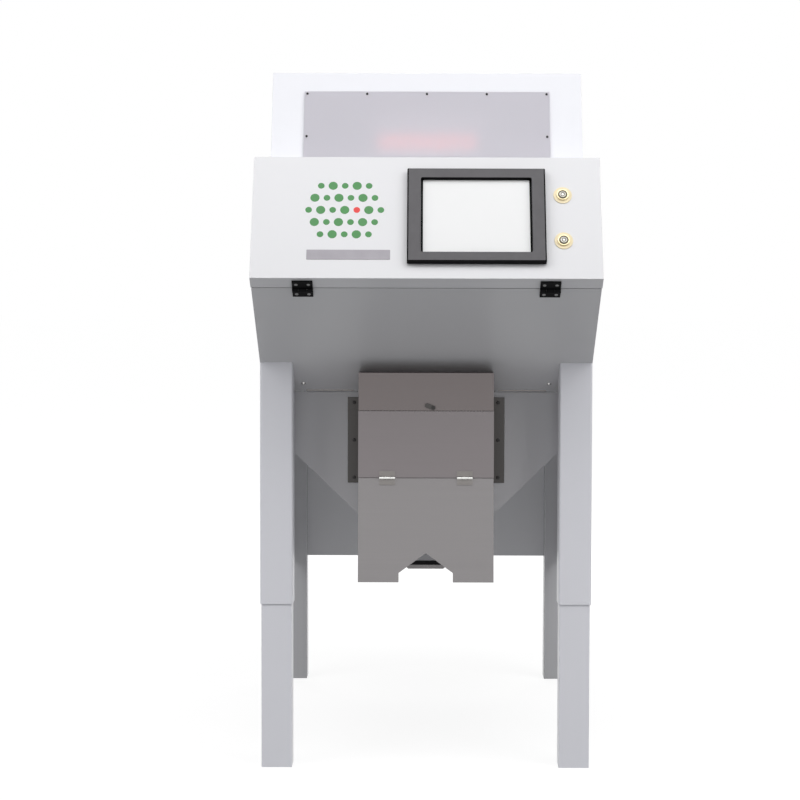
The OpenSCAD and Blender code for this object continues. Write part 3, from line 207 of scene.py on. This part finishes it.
def painted(name, colour, roughness=0.26, mottle=0.008):
    """Powder coat: slight orange peel, soft tone changes and a satin gloss."""
    finish = Finish(name, Specular_IOR_Level=0.3)
    finish.colour(finish.tones(finish.noise(1.6), colour, 1 - mottle, 1 + mottle / 2))
    finish.rough(finish.spread(finish.noise(12.0), roughness - 0.01, roughness + 0.01))
    finish.bump(finish.noise(260.0, detail=1.0), 0.00002, 0.05)
    return finish.material


def brushed(name, colour, roughness, grain=(3, 1600, 1600)):
    """Brushed metal: fine lines along one axis, and cloudy tone changes."""
    finish = Finish(name, Metallic=1.0)
    contrast = 0.04
    lines = finish.noise(1.0, stretch=grain, detail=3.0)
    clouds = finish.noise(7.0, detail=3.0)
    fine = finish.tones(lines, colour, 1 - contrast, 1 + contrast)
    broad = finish.tones(lines, colour, 0.96 - contrast, 1.0 + contrast)
    finish.colour(finish.blend(clouds, fine, broad))
    finish.rough(finish.spread(lines, roughness - 0.05, roughness + 0.06))
    finish.bump(lines, 0.00002, 0.2)
    return finish.material


def moulded(name, colour, roughness=0.45, grain=1500.0, depth=0.00005, **values):
    """Moulded plastic, print or rubber with a fine grain."""
    finish = Finish(name, **values)
    finish.colour(finish.tones(finish.noise(30.0, detail=3.0), colour, 0.94, 1.05))
    finish.rough(finish.spread(finish.noise(90.0), roughness - 0.05, roughness + 0.06))
    finish.bump(finish.noise(grain, detail=1.0), depth, 0.3)
    return finish.material


def cast(name, colour):
    """Sand-cast metal, coarse and dull."""
    finish = Finish(name, Metallic=0.8)
    finish.colour(finish.tones(finish.noise(60.0, detail=5.0), colour, 0.8, 1.15))
    finish.rough(finish.spread(finish.noise(40.0), 0.5, 0.65))
    finish.bump(finish.noise(350.0, detail=4.0), 0.0002, 0.5)
    return finish.material


def plated(name, colour, roughness=0.28):
    """Zinc or chrome plate with faint mottling."""
    finish = Finish(name, Metallic=1.0)
    finish.colour(finish.tones(finish.noise(160.0, detail=4.0), colour, 0.9, 1.08))
    finish.rough(finish.spread(finish.noise(220.0), roughness - 0.06, roughness + 0.08))
    finish.bump(finish.noise(900.0), 0.00002, 0.2)
    return finish.material


def frosted(name, colour):
    """Frosted acrylic: mostly milky, with a blurred view of what stands close behind it."""
    finish = Finish(name, IOR=1.49, Transmission_Weight=0.3)
    finish.colour(finish.tones(finish.noise(2.5, detail=1.0), colour, 0.985, 1.01))
    finish.rough(finish.spread(finish.noise(3.0), 0.28, 0.29))
    return finish.material


def clear(name, colour):
    """Clear float glass with a trace of wiping marks."""
    finish = Finish(name, IOR=1.5, Transmission_Weight=1.0)
    finish.colour(finish.tones(finish.noise(12.0), colour, 0.97, 1.0))
    finish.rough(finish.spread(finish.noise(30.0, detail=4.0), 0.02, 0.06))
    return finish.material


def screen(name, colour):
    """Blank display behind an anti-glare face."""
    finish = Finish(name, Coat_Weight=0.3, Coat_Roughness=0.3)
    finish.colour(finish.tones(finish.noise(3.0), colour, 0.985, 1.0))
    finish.rough(finish.spread(finish.noise(2200.0), 0.3, 0.36))
    finish.bump(finish.noise(2500.0), 0.00001, 0.15)
    return finish.material


BLACK = (0.005, 0.005, 0.0055)
FINISHES = {
    "white_paint": painted("white_paint", (0.775, 0.775, 0.795)),
    "dark_paint": painted("dark_paint", (0.05, 0.052, 0.056), 0.5, mottle=0.1),
    "red_paint": painted("red_paint", (0.72, 0.065, 0.025), mottle=0.06),
    "cast_base": cast("cast_base", (0.32, 0.33, 0.34)),
    "zinc": plated("zinc", (0.55, 0.55, 0.53)),
    "stainless": brushed("stainless", (0.245, 0.235, 0.237), 0.52),
    # Painted shade: darker copies of the stainless. The darkest is for the spout's box under the console and
    # a lighter one for its door; the apron below keeps the plain stainless.
    "painted_shade_stainless": brushed("painted_shade_stainless", (0.186, 0.166, 0.165), 0.52),
    "door_painted_shade_stainless": brushed("door_painted_shade_stainless", (0.217, 0.199, 0.203), 0.52),
    "dark_stainless": brushed("dark_stainless", (0.085, 0.081, 0.079), 0.45),
    "spring_steel": brushed("spring_steel", (0.16, 0.17, 0.2), 0.3),
    "aluminium": brushed("aluminium", (0.6, 0.61, 0.62), 0.4),
    "anodised_chute": brushed("anodised_chute", (0.45, 0.47, 0.5), 0.35, grain=(900, 6, 6)),
    "frosted_acrylic": frosted("frosted_acrylic", (0.65, 0.632, 0.692)),
    "optics_glass": clear("optics_glass", (0.86, 0.95, 0.93)),
    "display_glass": screen("display_glass", (0.80, 0.803, 0.806)),
    "bezel_grey": moulded("bezel_grey", (0.064, 0.061, 0.067), 0.5),
    "black_plastic": moulded("black_plastic", BLACK, 0.6, Specular_IOR_Level=0.06),
    "grey_plastic": moulded("grey_plastic", (0.42, 0.43, 0.44)),
    "lamp_plastic": moulded("lamp_plastic", (0.85, 0.85, 0.82), 0.3),
    "yellow_plastic": moulded("yellow_plastic", (0.86, 0.74, 0.49), 0.4),
    "button_ring": moulded("button_ring", (0.045, 0.038, 0.018), 0.5, Specular_IOR_Level=0.2),
    "button_metal": plated("button_metal", (0.34, 0.33, 0.3), 0.4),
    "brass": plated("brass", (0.68, 0.58, 0.37), 0.35),
    "rubber_seal": moulded("rubber_seal", BLACK, 0.7, grain=600.0, depth=0.0001, Specular_IOR_Level=0.2),
    # Lit and shaded copies of the white paint. The feeder housing and the front legs are painted lighter and
    # a little bluer (painted light). The funnel's front plate, the rear legs and the console's floor are
    # darker (painted shade), and the funnel's sloping sides are lighter (painted light).
    "housing_white_painted_light": painted("housing_white_painted_light", (0.84, 0.845, 0.885), 0.3),
    "leg_white_painted_light": painted("leg_white_painted_light", (0.88, 0.883, 0.935), 0.3),
    "plate_white_painted_shade": painted("plate_white_painted_shade", (0.655, 0.655, 0.675)),
    "floor_white_painted_shade": painted("floor_white_painted_shade", (0.7, 0.7, 0.715)),
    "funnel_white_painted_light": painted("funnel_white_painted_light", (0.92, 0.92, 0.945)),
    "hinge_steel": brushed("hinge_steel", (0.235, 0.222, 0.214), 0.4),
    "polished_steel": plated("polished_steel", (0.72, 0.72, 0.7), 0.22),
    "screw_grey": plated("screw_grey", (0.17, 0.17, 0.17), 0.35),
    "screw_dark": plated("screw_dark", (0.05, 0.048, 0.048), 0.35),
    "plate_grey": moulded("plate_grey", (0.37, 0.35, 0.385), 0.45),
    "print_green": moulded("print_green", (0.035, 0.22, 0.045), 0.35),
    "print_red": moulded("print_red", (0.75, 0.025, 0.02), 0.35),
}

# Nodes whose finish differs from their slot's common one. Many are lighter or darker copies of the same
# white paint or stainless, which are painted light and painted shade.
SPECIAL = {
    "feeder_housing": "housing_white_painted_light", "front_posts": "leg_white_painted_light", "front_legs": "leg_white_painted_light",
    # The bezel's black, left bare at its edges by the grey overlay, is partly painted shade.
    "screen_bezel": "black_plastic", "door_hinge_leaves": "hinge_steel",
    # The spout's box and its door take the painted-shade copies of the stainless.
    "apron_hinge_leaves": "hinge_steel", "latch_pivot": "screw_dark", "spout_box": "painted_shade_stainless",
    "inspection_door": "door_painted_shade_stainless", "funnel_front_plate": "plate_white_painted_shade",
    "reject_funnel": "funnel_white_painted_light", "button_barrels": "brass",
    "console_floor": "floor_white_painted_shade", "rear_legs": "plate_white_painted_shade",
}
# Radius of the softened edges, in millimetres
BEVELS = {
    "front_posts": 0.4, "front_legs": 0.4, "rear_legs": 2.0, "side_rails": 1.5, "control_cover": 1.0,
    "console_floor": 0.6, "side_panel_left": 0.7, "side_panel_right": 0.7, "roof_panel": 0.6,
    "rear_hood": 0.6, "rear_panel": 0.5, "feeder_housing": 0.8, "feeder_window": 0.8, "screen_bezel": 0.8,
    "vibrator_drive": 3.0, "vibrator_base": 2.0, "front_camera": 1.5, "rear_camera": 1.5,
    "electronics": 2.5, "rear_services": 0.6, "console_hinge_leaves": 0.7, "cover_hinge_leaves": 0.7,
    "spout_flange": 0.5, "funnel_collar": 0.8, "funnel_seal": 1.0, "button_barrels": 0.5,
    "button_upper": 0.5, "button_lower": 0.5, "ejector_valves": 0.6, "core_brackets": 0.6,
}
COMMON_BEVEL = 0.3


def dress_nodes():
    """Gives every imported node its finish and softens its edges."""
    for name, node in NODES.items():
        node.data.materials.clear()
        node.data.materials.append(FINISHES[SPECIAL.get(name, SLOT_OF[name])])
        weld = node.modifiers.new("weld", "WELD")
        weld.merge_threshold = 1e-6
        flats = node.modifiers.new("flats", "DECIMATE")
        flats.decimate_type = "DISSOLVE"
        flats.angle_limit = math.radians(0.2)
        soften(node, BEVELS.get(name, COMMON_BEVEL) * MM, segments=3)
        for polygon in node.data.polygons:
            polygon.use_smooth = True
        normals = node.modifiers.new("normals", "WEIGHTED_NORMAL")
        normals.keep_sharp = True


def soften(item, width, segments):
    bevel = item.modifiers.new("bevel", "BEVEL")
    bevel.width = width
    bevel.segments = segments
    bevel.loop_slide = False
    bevel.limit_method = "ANGLE"
    bevel.angle_limit = math.radians(40)


# Pieces


def piece(name, mesh, place, body, finish, bevel=0.0):
    """Object from a bmesh drawn in a local frame, carried by a body of the part."""
    mesh.transform(place)
    bmesh.ops.recalc_face_normals(mesh, faces=mesh.faces)
    data = bpy.data.meshes.new(name)
    mesh.to_mesh(data)
    mesh.free()
    item = bpy.data.objects.new(name, data)
    bpy.context.scene.collection.objects.link(item)
    data.materials.append(FINISHES[finish])
    if bevel:
        soften(item, bevel, segments=2)
    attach(item, body)
    return item


def ring_verts(mesh, radius_of, z, sides):
    angles = [2 * math.pi * k / sides for k in range(sides)]
    return [mesh.verts.new((radius_of(a) * math.cos(a), radius_of(a) * math.sin(a), z)) for a in angles]


def bridge(mesh, lower, upper):
    count = len(lower)
    for k in range(count):
        mesh.faces.new((lower[k], lower[(k + 1) % count], upper[(k + 1) % count], upper[k]))


def cross_radius(arm, half_width):
    """Outline of a cross recess as a radius by angle."""
    def radius(angle):
        c, s = abs(math.cos(angle)), abs(math.sin(angle))
        along, across = max(c, s), min(c, s)
        return min(arm / along, half_width / max(across, 1e-6))
    return radius


def add_screw(mesh, place, diameter, height):
    """Pan head with a cross recess, on the plane z = 0 of a place."""
    head = bmesh.new()
    sides = 32
    r = diameter / 2
    recess = cross_radius(0.58 * r, 0.16 * r)
    rows = [
        (lambda a: r, 0.0),
        (lambda a: r, 0.35 * height),
        (lambda a: 0.94 * r, 0.62 * height),
        (lambda a: 0.82 * r, 0.84 * height),
        (lambda a: 0.66 * r, 0.97 * height),
        (recess, height),
        (lambda a: 0.8 * recess(a), 0.45 * height),
    ]
    rings = [ring_verts(head, radius_of, z, sides) for radius_of, z in rows]
    for lower, upper in zip(rings, rings[1:]):
        bridge(head, lower, upper)
    head.faces.new(rings[-1])
    head.faces.new(list(reversed(rings[0])))
    merge(mesh, head, place)


def merge(mesh, part, place):
    """Adds one bmesh to another, moved to a place."""
    part.transform(place)
    data = bpy.data.meshes.new("part")
    part.to_mesh(data)
    part.free()
    mesh.from_mesh(data)
    bpy.data.meshes.remove(data)


def screws(name, places, diameter, height, body, finish):
    mesh = bmesh.new()
    for place in places:
        add_screw(mesh, place, diameter, height)
    return piece(name, mesh, Matrix(), body, finish)


def outline_plate(mesh, points, z0, z1, hole=None):
    """Flat plate of an outline, with an optional hole of as many points."""
    def loop(outline, z):
        return [mesh.verts.new((x, y, z)) for x, y in outline]
    low, high = loop(points, z0), loop(points, z1)
    bridge(mesh, low, high)
    if hole is None:
        mesh.faces.new(high)
        mesh.faces.new(list(reversed(low)))
        return
    hole_low, hole_high = loop(hole, z0), loop(hole, z1)
    bridge(mesh, hole_high, hole_low)
    bridge(mesh, high, hole_high)
    bridge(mesh, hole_low, low)


def round_rect(x0, y0, x1, y1, radius):
    """Outline of a rectangle with round corners."""
    steps = 5
    corners = [(x1 - radius, y0 + radius, -90), (x1 - radius, y1 - radius, 0),
               (x0 + radius, y1 - radius, 90), (x0 + radius, y0 + radius, 180)]
    points = []
    for cx, cy, start in corners:
        for k in range(steps + 1):
            angle = math.radians(start + 90 * k / steps)
            points.append((cx + radius * math.cos(angle), cy + radius * math.sin(angle)))
    return points


def disc(radius):
    """Outline of a round plate."""
    steps = 28
    angles = [2 * math.pi * k / steps for k in range(steps)]
    return [(radius * math.cos(a), radius * math.sin(a)) for a in angles]


PANEL = face_frame("control_cover", (0, -0.89, 0.46))
UNDERSIDE = face_frame("console_floor", (0, -0.57, -0.82))
WINDOW = face_frame("feeder_window", (0, -0.93, 0.36))
DOOR = face_frame("inspection_door", (0, -1, 0.05))
APRON = face_frame("spout_apron", (0, -1, 0.1))
FRONT = face_frame("spout_flange", (0, -1, 0))


def in_face(points, face):
    into = face.inverted()
    return [into @ point for point in points]


def node_extent(node, face):
    return extent(in_face([vertex.co for vertex in NODES[node].data.vertices], face))


def heads(node, face):
    """Places of a node's separate heads, on the plane that they stand on, and the size of one head."""
    places = []
    for group in islands(node):
        low, high = extent(in_face(group, face))
        places.append(face @ Matrix.Translation(((low.x + high.x) / 2, (low.y + high.y) / 2, low.z)))
    return places, high.x - low.x, high.z - low.z


def leaf_places(node, face, side, spacing):
    """Two screw places on the flat of each hinge leaf of a node, which lies to one side of its pin."""
    at_end, share_from_end = 0.2 * MM, 0.3
    places = []
    for group in islands(node):
        points = in_face(group, face)
        low, high = extent(points)
        end = high.y if side > 0 else low.y
        flat = max(point.z for point in points if abs(point.y - end) < at_end)
        up_face = end - side * share_from_end * (high.y - low.y)
        for across in (-spacing / 2, spacing / 2):
            spot = ((low.x + high.x) / 2 + across, up_face, flat)
            places.append(face @ Matrix.Translation(spot))
    return places


def add_fasteners():
    """Heads with a cross recess in place of the plain ones, and the screws of the hinge leaves."""
    for node, face in (("window_screws", WINDOW), ("flange_screws", FRONT)):
        places, diameter, height = heads(node, face)
        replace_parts(screws(node + "_crossed", places, diameter, height, "machine", "screw_dark"), node)
    head, rise, spacing = 7 * MM, 0.8 * MM, 24 * MM
    cover_leaves = (("cover_hinge_leaves", 1, "control_cover"), ("console_hinge_leaves", -1, "machine"))
    for node, side, body in cover_leaves:
        places = leaf_places(node, UNDERSIDE, side, spacing)
        screws(node + "_screws", places, head, rise, body, "screw_grey")
    head, rise, spacing = 3.6 * MM, 0.5 * MM, 19 * MM
    screws("door_leaf_screws", leaf_places("door_hinge_leaves", DOOR, 1, spacing), head, rise,
           "inspection_door", "hinge_steel")
    screws("apron_leaf_screws", leaf_places("apron_hinge_leaves", APRON, -1, spacing), head, rise,
           "machine", "hinge_steel")


def paint_knuckle_highlights():
    """Painted highlight: a brighter polished-steel finish on the knuckles of the door's hinge leaves,
    standing in for the glint on their curved knuckles.
    """
    axis = middle(islands("door_hinge_pins")[0])
    knuckle_r = 3.2 * MM
    for name in ("door_hinge_leaves", "apron_hinge_leaves"):
        data = NODES[name].data
        data.materials.append(FINISHES["polished_steel"])
        for polygon in data.polygons:
            away = polygon.center - axis
            if math.hypot(away.y, away.z) < knuckle_r:
                polygon.material_index = 1


def box_mesh(low, high):
    mesh = bmesh.new()
    bmesh.ops.create_cube(mesh, size=1.0)
    mesh.transform(Matrix.Translation((low + high) / 2) @ Matrix.Diagonal((*(high - low), 1)))
    return mesh


def add_leg_plugs():
    """Plugs that close the rear legs' tubes under the hood."""
    hood_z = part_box("rear_hood")[0].z
    inset = 0.3 * MM
    for name, group in zip(("left", "right"), islands("rear_legs")):
        low, high = extent(group)
        seat = Vector((low.x + inset, low.y + inset, high.z))
        top = Vector((high.x - inset, high.y - inset, hood_z - inset))
        plug = box_mesh(seat, top)
        piece("leg_plug_" + name, plug, Matrix(), "machine", "white_paint", inset)


def add_strip_plate():
    """Bare plate under the print on the control panel."""
    x0, y0, x1, y1 = -232.5 * MM, 40.4 * MM, -70.5 * MM, 61.8 * MM
    corner, thickness, edge = 0.6 * MM, 0.6 * MM, 0.15 * MM
    plate = bmesh.new()
    outline_plate(plate, round_rect(x0, y0, x1, y1, corner), 0, thickness)
    piece("strip_plate", plate, PANEL, "control_cover", "plate_grey", edge)


def add_floor_hem():
    """Rolled hem along the lower edge of the console's floor, on both sides of the spout. Its steel finish
    on what is white-painted sheet is a painted highlight, so that the hem shows as a light line.
    """
    radius, up_face, steps = 1.7 * MM, 2.4 * MM, 8
    start, end = 150 * MM, 250 * MM
    angles = [math.pi * k / steps for k in range(steps + 1)]
    section = [(up_face + radius * math.cos(a), radius * math.sin(a)) for a in angles]
    hem = bmesh.new()
    for x0, x1 in ((-end, -start), (start, end)):
        first = [hem.verts.new((x0, y, z)) for y, z in section]
        last = [hem.verts.new((x1, y, z)) for y, z in section]
        bridge(hem, first, last)
        hem.faces.new(first)
        hem.faces.new(list(reversed(last)))
    # The steel finish here is a painted highlight on a white-painted hem.
    piece("floor_hem", hem, UNDERSIDE, "machine", "hinge_steel")


def add_button_marks():
    """Dark ring on the rim of each button's face, and a small ring and stud in its dish."""
    rim_outer, rim_inner, rim_rise = 8.9 * MM, 6.6 * MM, 0.15 * MM
    dish_outer, dish_inner, stud_r = 4.2 * MM, 3.0 * MM, 1.4 * MM
    foot, stud_top = 0.9 * MM, 0.4 * MM
    for name in ("button_upper", "button_lower"):
        low, high = node_extent(name, PANEL)
        place = PANEL @ Matrix.Translation(((low.x + high.x) / 2, (low.y + high.y) / 2, high.z))
        rings = bmesh.new()
        outline_plate(rings, disc(rim_outer), 0, rim_rise, disc(rim_inner))
        outline_plate(rings, disc(dish_outer), -foot, -stud_top, disc(dish_inner))
        piece(name + "_rings", rings, place, name, "button_ring")
        stud = bmesh.new()
        outline_plate(stud, disc(stud_r), -foot, -stud_top)
        piece(name + "_stud", stud, place, name, "polished_steel")


def add_bezel_overlay():
    """Grey face on the screen's black bezel. The black rim that it leaves bare, wide at the bottom and sides
    and narrow at the top, is partly the bezel's own black edge and partly painted shade along those edges.
    """
    low, high = node_extent("screen_bezel", PANEL)
    glass_low, glass_high = node_extent("display", PANEL)
    # rim and top_rim leave black bare at the sides and bottom, partly as painted shade on those edges.
    rim, top_rim, lap, thickness = 2.6 * MM, 0.6 * MM, 0.3 * MM, 0.6 * MM
    corner, inner_corner, edge = 1.2 * MM, 3.5 * MM, 0.2 * MM
    outer = round_rect(low.x + rim, low.y + rim, high.x - rim, high.y - top_rim, corner)
    inner = round_rect(glass_low.x - lap, glass_low.y - lap, glass_high.x + lap, glass_high.y + lap,
                       inner_corner)
    overlay = bmesh.new()
    outline_plate(overlay, outer, high.z, high.z + thickness, inner)
    piece("bezel_overlay", overlay, PANEL, "control_cover", "bezel_grey", edge)


def add_display_mask():
    """Black border printed on the display's glass."""
    low, high = node_extent("display", PANEL)
    side, end, thickness = 4 * MM, 1.2 * MM, 0.1 * MM
    corner, inner_corner = 0.5 * MM, 2 * MM
    outer = round_rect(low.x, low.y, high.x, high.y, corner)
    inner = round_rect(low.x + side, low.y + end, high.x - side, high.y - end, inner_corner)
    mask = bmesh.new()
    outline_plate(mask, outer, high.z, high.z + thickness, inner)
    piece("display_mask", mask, PANEL, "control_cover", "black_plastic")


def add_bead_print():
    """Printed beads on the left of the panel, one of them red: five rows, the middle one longest."""
    centre_x, centre_y = -160 * MM, 150 * MM
    longest, rows = 7, 5
    red_place = (0, 4)
    pitch_x, pitch_y = 23.5 * MM, 27 * MM
    large, small, thickness = 18 * MM, 13 * MM, 0.15 * MM
    green, red = bmesh.new(), bmesh.new()
    for row in range(rows):
        step = row - rows // 2
        count = longest - abs(step)
        for k in range(count):
            x = centre_x + (k - (count - 1) / 2) * pitch_x
            diameter = large if (k + row) % 2 else small
            bead = bmesh.new()
            outline_plate(bead, disc(diameter / 2), 0, thickness)
            mesh = red if (step, k) == red_place else green
            merge(mesh, bead, Matrix.Translation((x, centre_y + step * pitch_y, 0)))
    piece("bead_print_green", green, PANEL, "control_cover", "print_green")
    piece("bead_print_red", red, PANEL, "control_cover", "print_red")


dress_nodes()
add_fasteners()
paint_knuckle_highlights()
add_leg_plugs()
add_floor_hem()
add_strip_plate()
add_bezel_overlay()
add_display_mask()
add_button_marks()
add_bead_print()


# Stage, light and camera


def light_path_mix(tree, first, second, surface):
    """First shader for light on the object, second for what the camera, mirrors and glass see."""
    path = tree.nodes.new("ShaderNodeLightPath")
    seen = path.outputs["Is Camera Ray"]
    for kind in ("Is Glossy Ray", "Is Transmission Ray"):
        either = tree.nodes.new("ShaderNodeMath")
        either.operation = "MAXIMUM"
        tree.links.new(seen, either.inputs[0])
        tree.links.new(path.outputs[kind], either.inputs[1])
        seen = either.outputs[0]
    mix = tree.nodes.new("ShaderNodeMixShader")
    tree.links.new(seen, mix.inputs[0])
    tree.links.new(first, mix.inputs[1])
    tree.links.new(second, mix.inputs[2])
    tree.links.new(mix.outputs[0], surface)


def make_floor():
    """Pale floor: a dim bounce onto the object, and white with a faint shadow where it is seen."""
    size = 60.0
    mesh = bpy.data.meshes.new("floor")
    corners = [(-size, -size, 0), (size, -size, 0), (size, size, 0), (-size, size, 0)]
    mesh.from_pydata(corners, [], [(0, 1, 2, 3)])
    floor = bpy.data.objects.new("floor", mesh)
    bpy.context.scene.collection.objects.link(floor)
    material = bpy.data.materials.new("floor")
    material.use_nodes = True
    tree = material.node_tree
    tree.nodes.clear()
    pale = tree.nodes.new("ShaderNodeBsdfDiffuse")
    pale.inputs["Color"].default_value = (0.17, 0.173, 0.18, 1)
    lift = tree.nodes.new("ShaderNodeEmission")
    lift.inputs["Strength"].default_value = 0.23
    bounce = tree.nodes.new("ShaderNodeAddShader")
    tree.links.new(pale.outputs[0], bounce.inputs[0])
    tree.links.new(lift.outputs[0], bounce.inputs[1])
    place = tree.nodes.new("ShaderNodeTexCoord")
    distance = tree.nodes.new("ShaderNodeVectorMath")
    distance.operation = "LENGTH"
    tree.links.new(place.outputs["Object"], distance.inputs[0])
    fade = tree.nodes.new("ShaderNodeMapRange")
    for socket, value in (("From Min", 1.2), ("From Max", 5.0), ("To Min", 0.87), ("To Max", 0.98)):
        fade.inputs[socket].default_value = value
    tree.links.new(distance.outputs["Value"], fade.inputs["Value"])
    glow = tree.nodes.new("ShaderNodeEmission")
    tree.links.new(fade.outputs["Result"], glow.inputs["Strength"])
    veil = tree.nodes.new("ShaderNodeBsdfDiffuse")
    veil.inputs["Color"].default_value = (0.2, 0.2, 0.2, 1)
    seen = tree.nodes.new("ShaderNodeAddShader")
    tree.links.new(glow.outputs[0], seen.inputs[0])
    tree.links.new(veil.outputs[0], seen.inputs[1])
    output = tree.nodes.new("ShaderNodeOutputMaterial")
    light_path_mix(tree, bounce.outputs[0], seen.outputs[0], output.inputs["Surface"])
    mesh.materials.append(material)


def make_world():
    world = bpy.data.worlds.new("studio")
    world.use_nodes = True
    tree = world.node_tree
    tree.nodes.clear()
    ambient = tree.nodes.new("ShaderNodeBackground")
    ambient.inputs["Color"].default_value = (0.98, 0.99, 1.0, 1)
    ambient.inputs["Strength"].default_value = 0.09
    backdrop = tree.nodes.new("ShaderNodeBackground")
    backdrop.inputs["Color"].default_value = (1, 1, 1, 1)
    backdrop.inputs["Strength"].default_value = 1.0
    output = tree.nodes.new("ShaderNodeOutputWorld")
    light_path_mix(tree, ambient.outputs[0], backdrop.outputs[0], output.inputs["Surface"])
    bpy.context.scene.world = world


def make_lamp(name, location, target, size, watts):
    data = bpy.data.lights.new(name, "AREA")
    data.shape = "RECTANGLE"
    data.size, data.size_y = size
    data.energy = watts
    lamp = bpy.data.objects.new(name, data)
    lamp.location = location
    lamp.rotation_euler = (Vector(target) - Vector(location)).to_track_quat("-Z", "Y").to_euler()
    bpy.context.scene.collection.objects.link(lamp)


def make_lamps():
    """Soft light from all round and above, and what the frosted window lets into the feeder."""
    target = Vector((0, -0.2, 0.9))
    make_lamp("softbox_front", target + Vector((0.3, -3.2, 3.6)), target, (5.0, 4.0), 40)
    make_lamp("softbox_top", target + Vector((0.3, -1.9, 4.1)), target, (3.2, 2.6), 50)
    for name, side, watts in (("softbox_left", -1, 82), ("softbox_right", 1, 89)):
        make_lamp(name, target + Vector((side * 3.0, -2.1, 2.7)), target, (3.0, 3.0), watts)
    make_lamp("softbox_rear", target + Vector((0, 4.2, 1.4)), target, (4.0, 2.4), 90)
    low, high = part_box("vibrator_drive")
    drive = Vector((0, low.y, (low.z + high.z) / 2))
    ahead = Vector((0, -50 * MM, 10 * MM))
    make_lamp("feeder_light", drive + ahead, drive, (0.24, 0.04), 0.36)


def make_camera():
    data = bpy.data.cameras.new("camera")
    data.lens = 96.75
    data.sensor_width = 36.0
    data.shift_x = -0.0331
    data.clip_end = 200.0
    camera = bpy.data.objects.new("camera", data)
    camera.location = (0.0, -4.8025, 0.990)
    camera.rotation_euler = (math.radians(87.0), math.radians(-0.16), 0.0)
    bpy.context.scene.collection.objects.link(camera)
    bpy.context.scene.camera = camera


make_floor()
make_world()
make_lamps()
make_camera()
bpy.context.scene.view_settings.view_transform = "Standard"
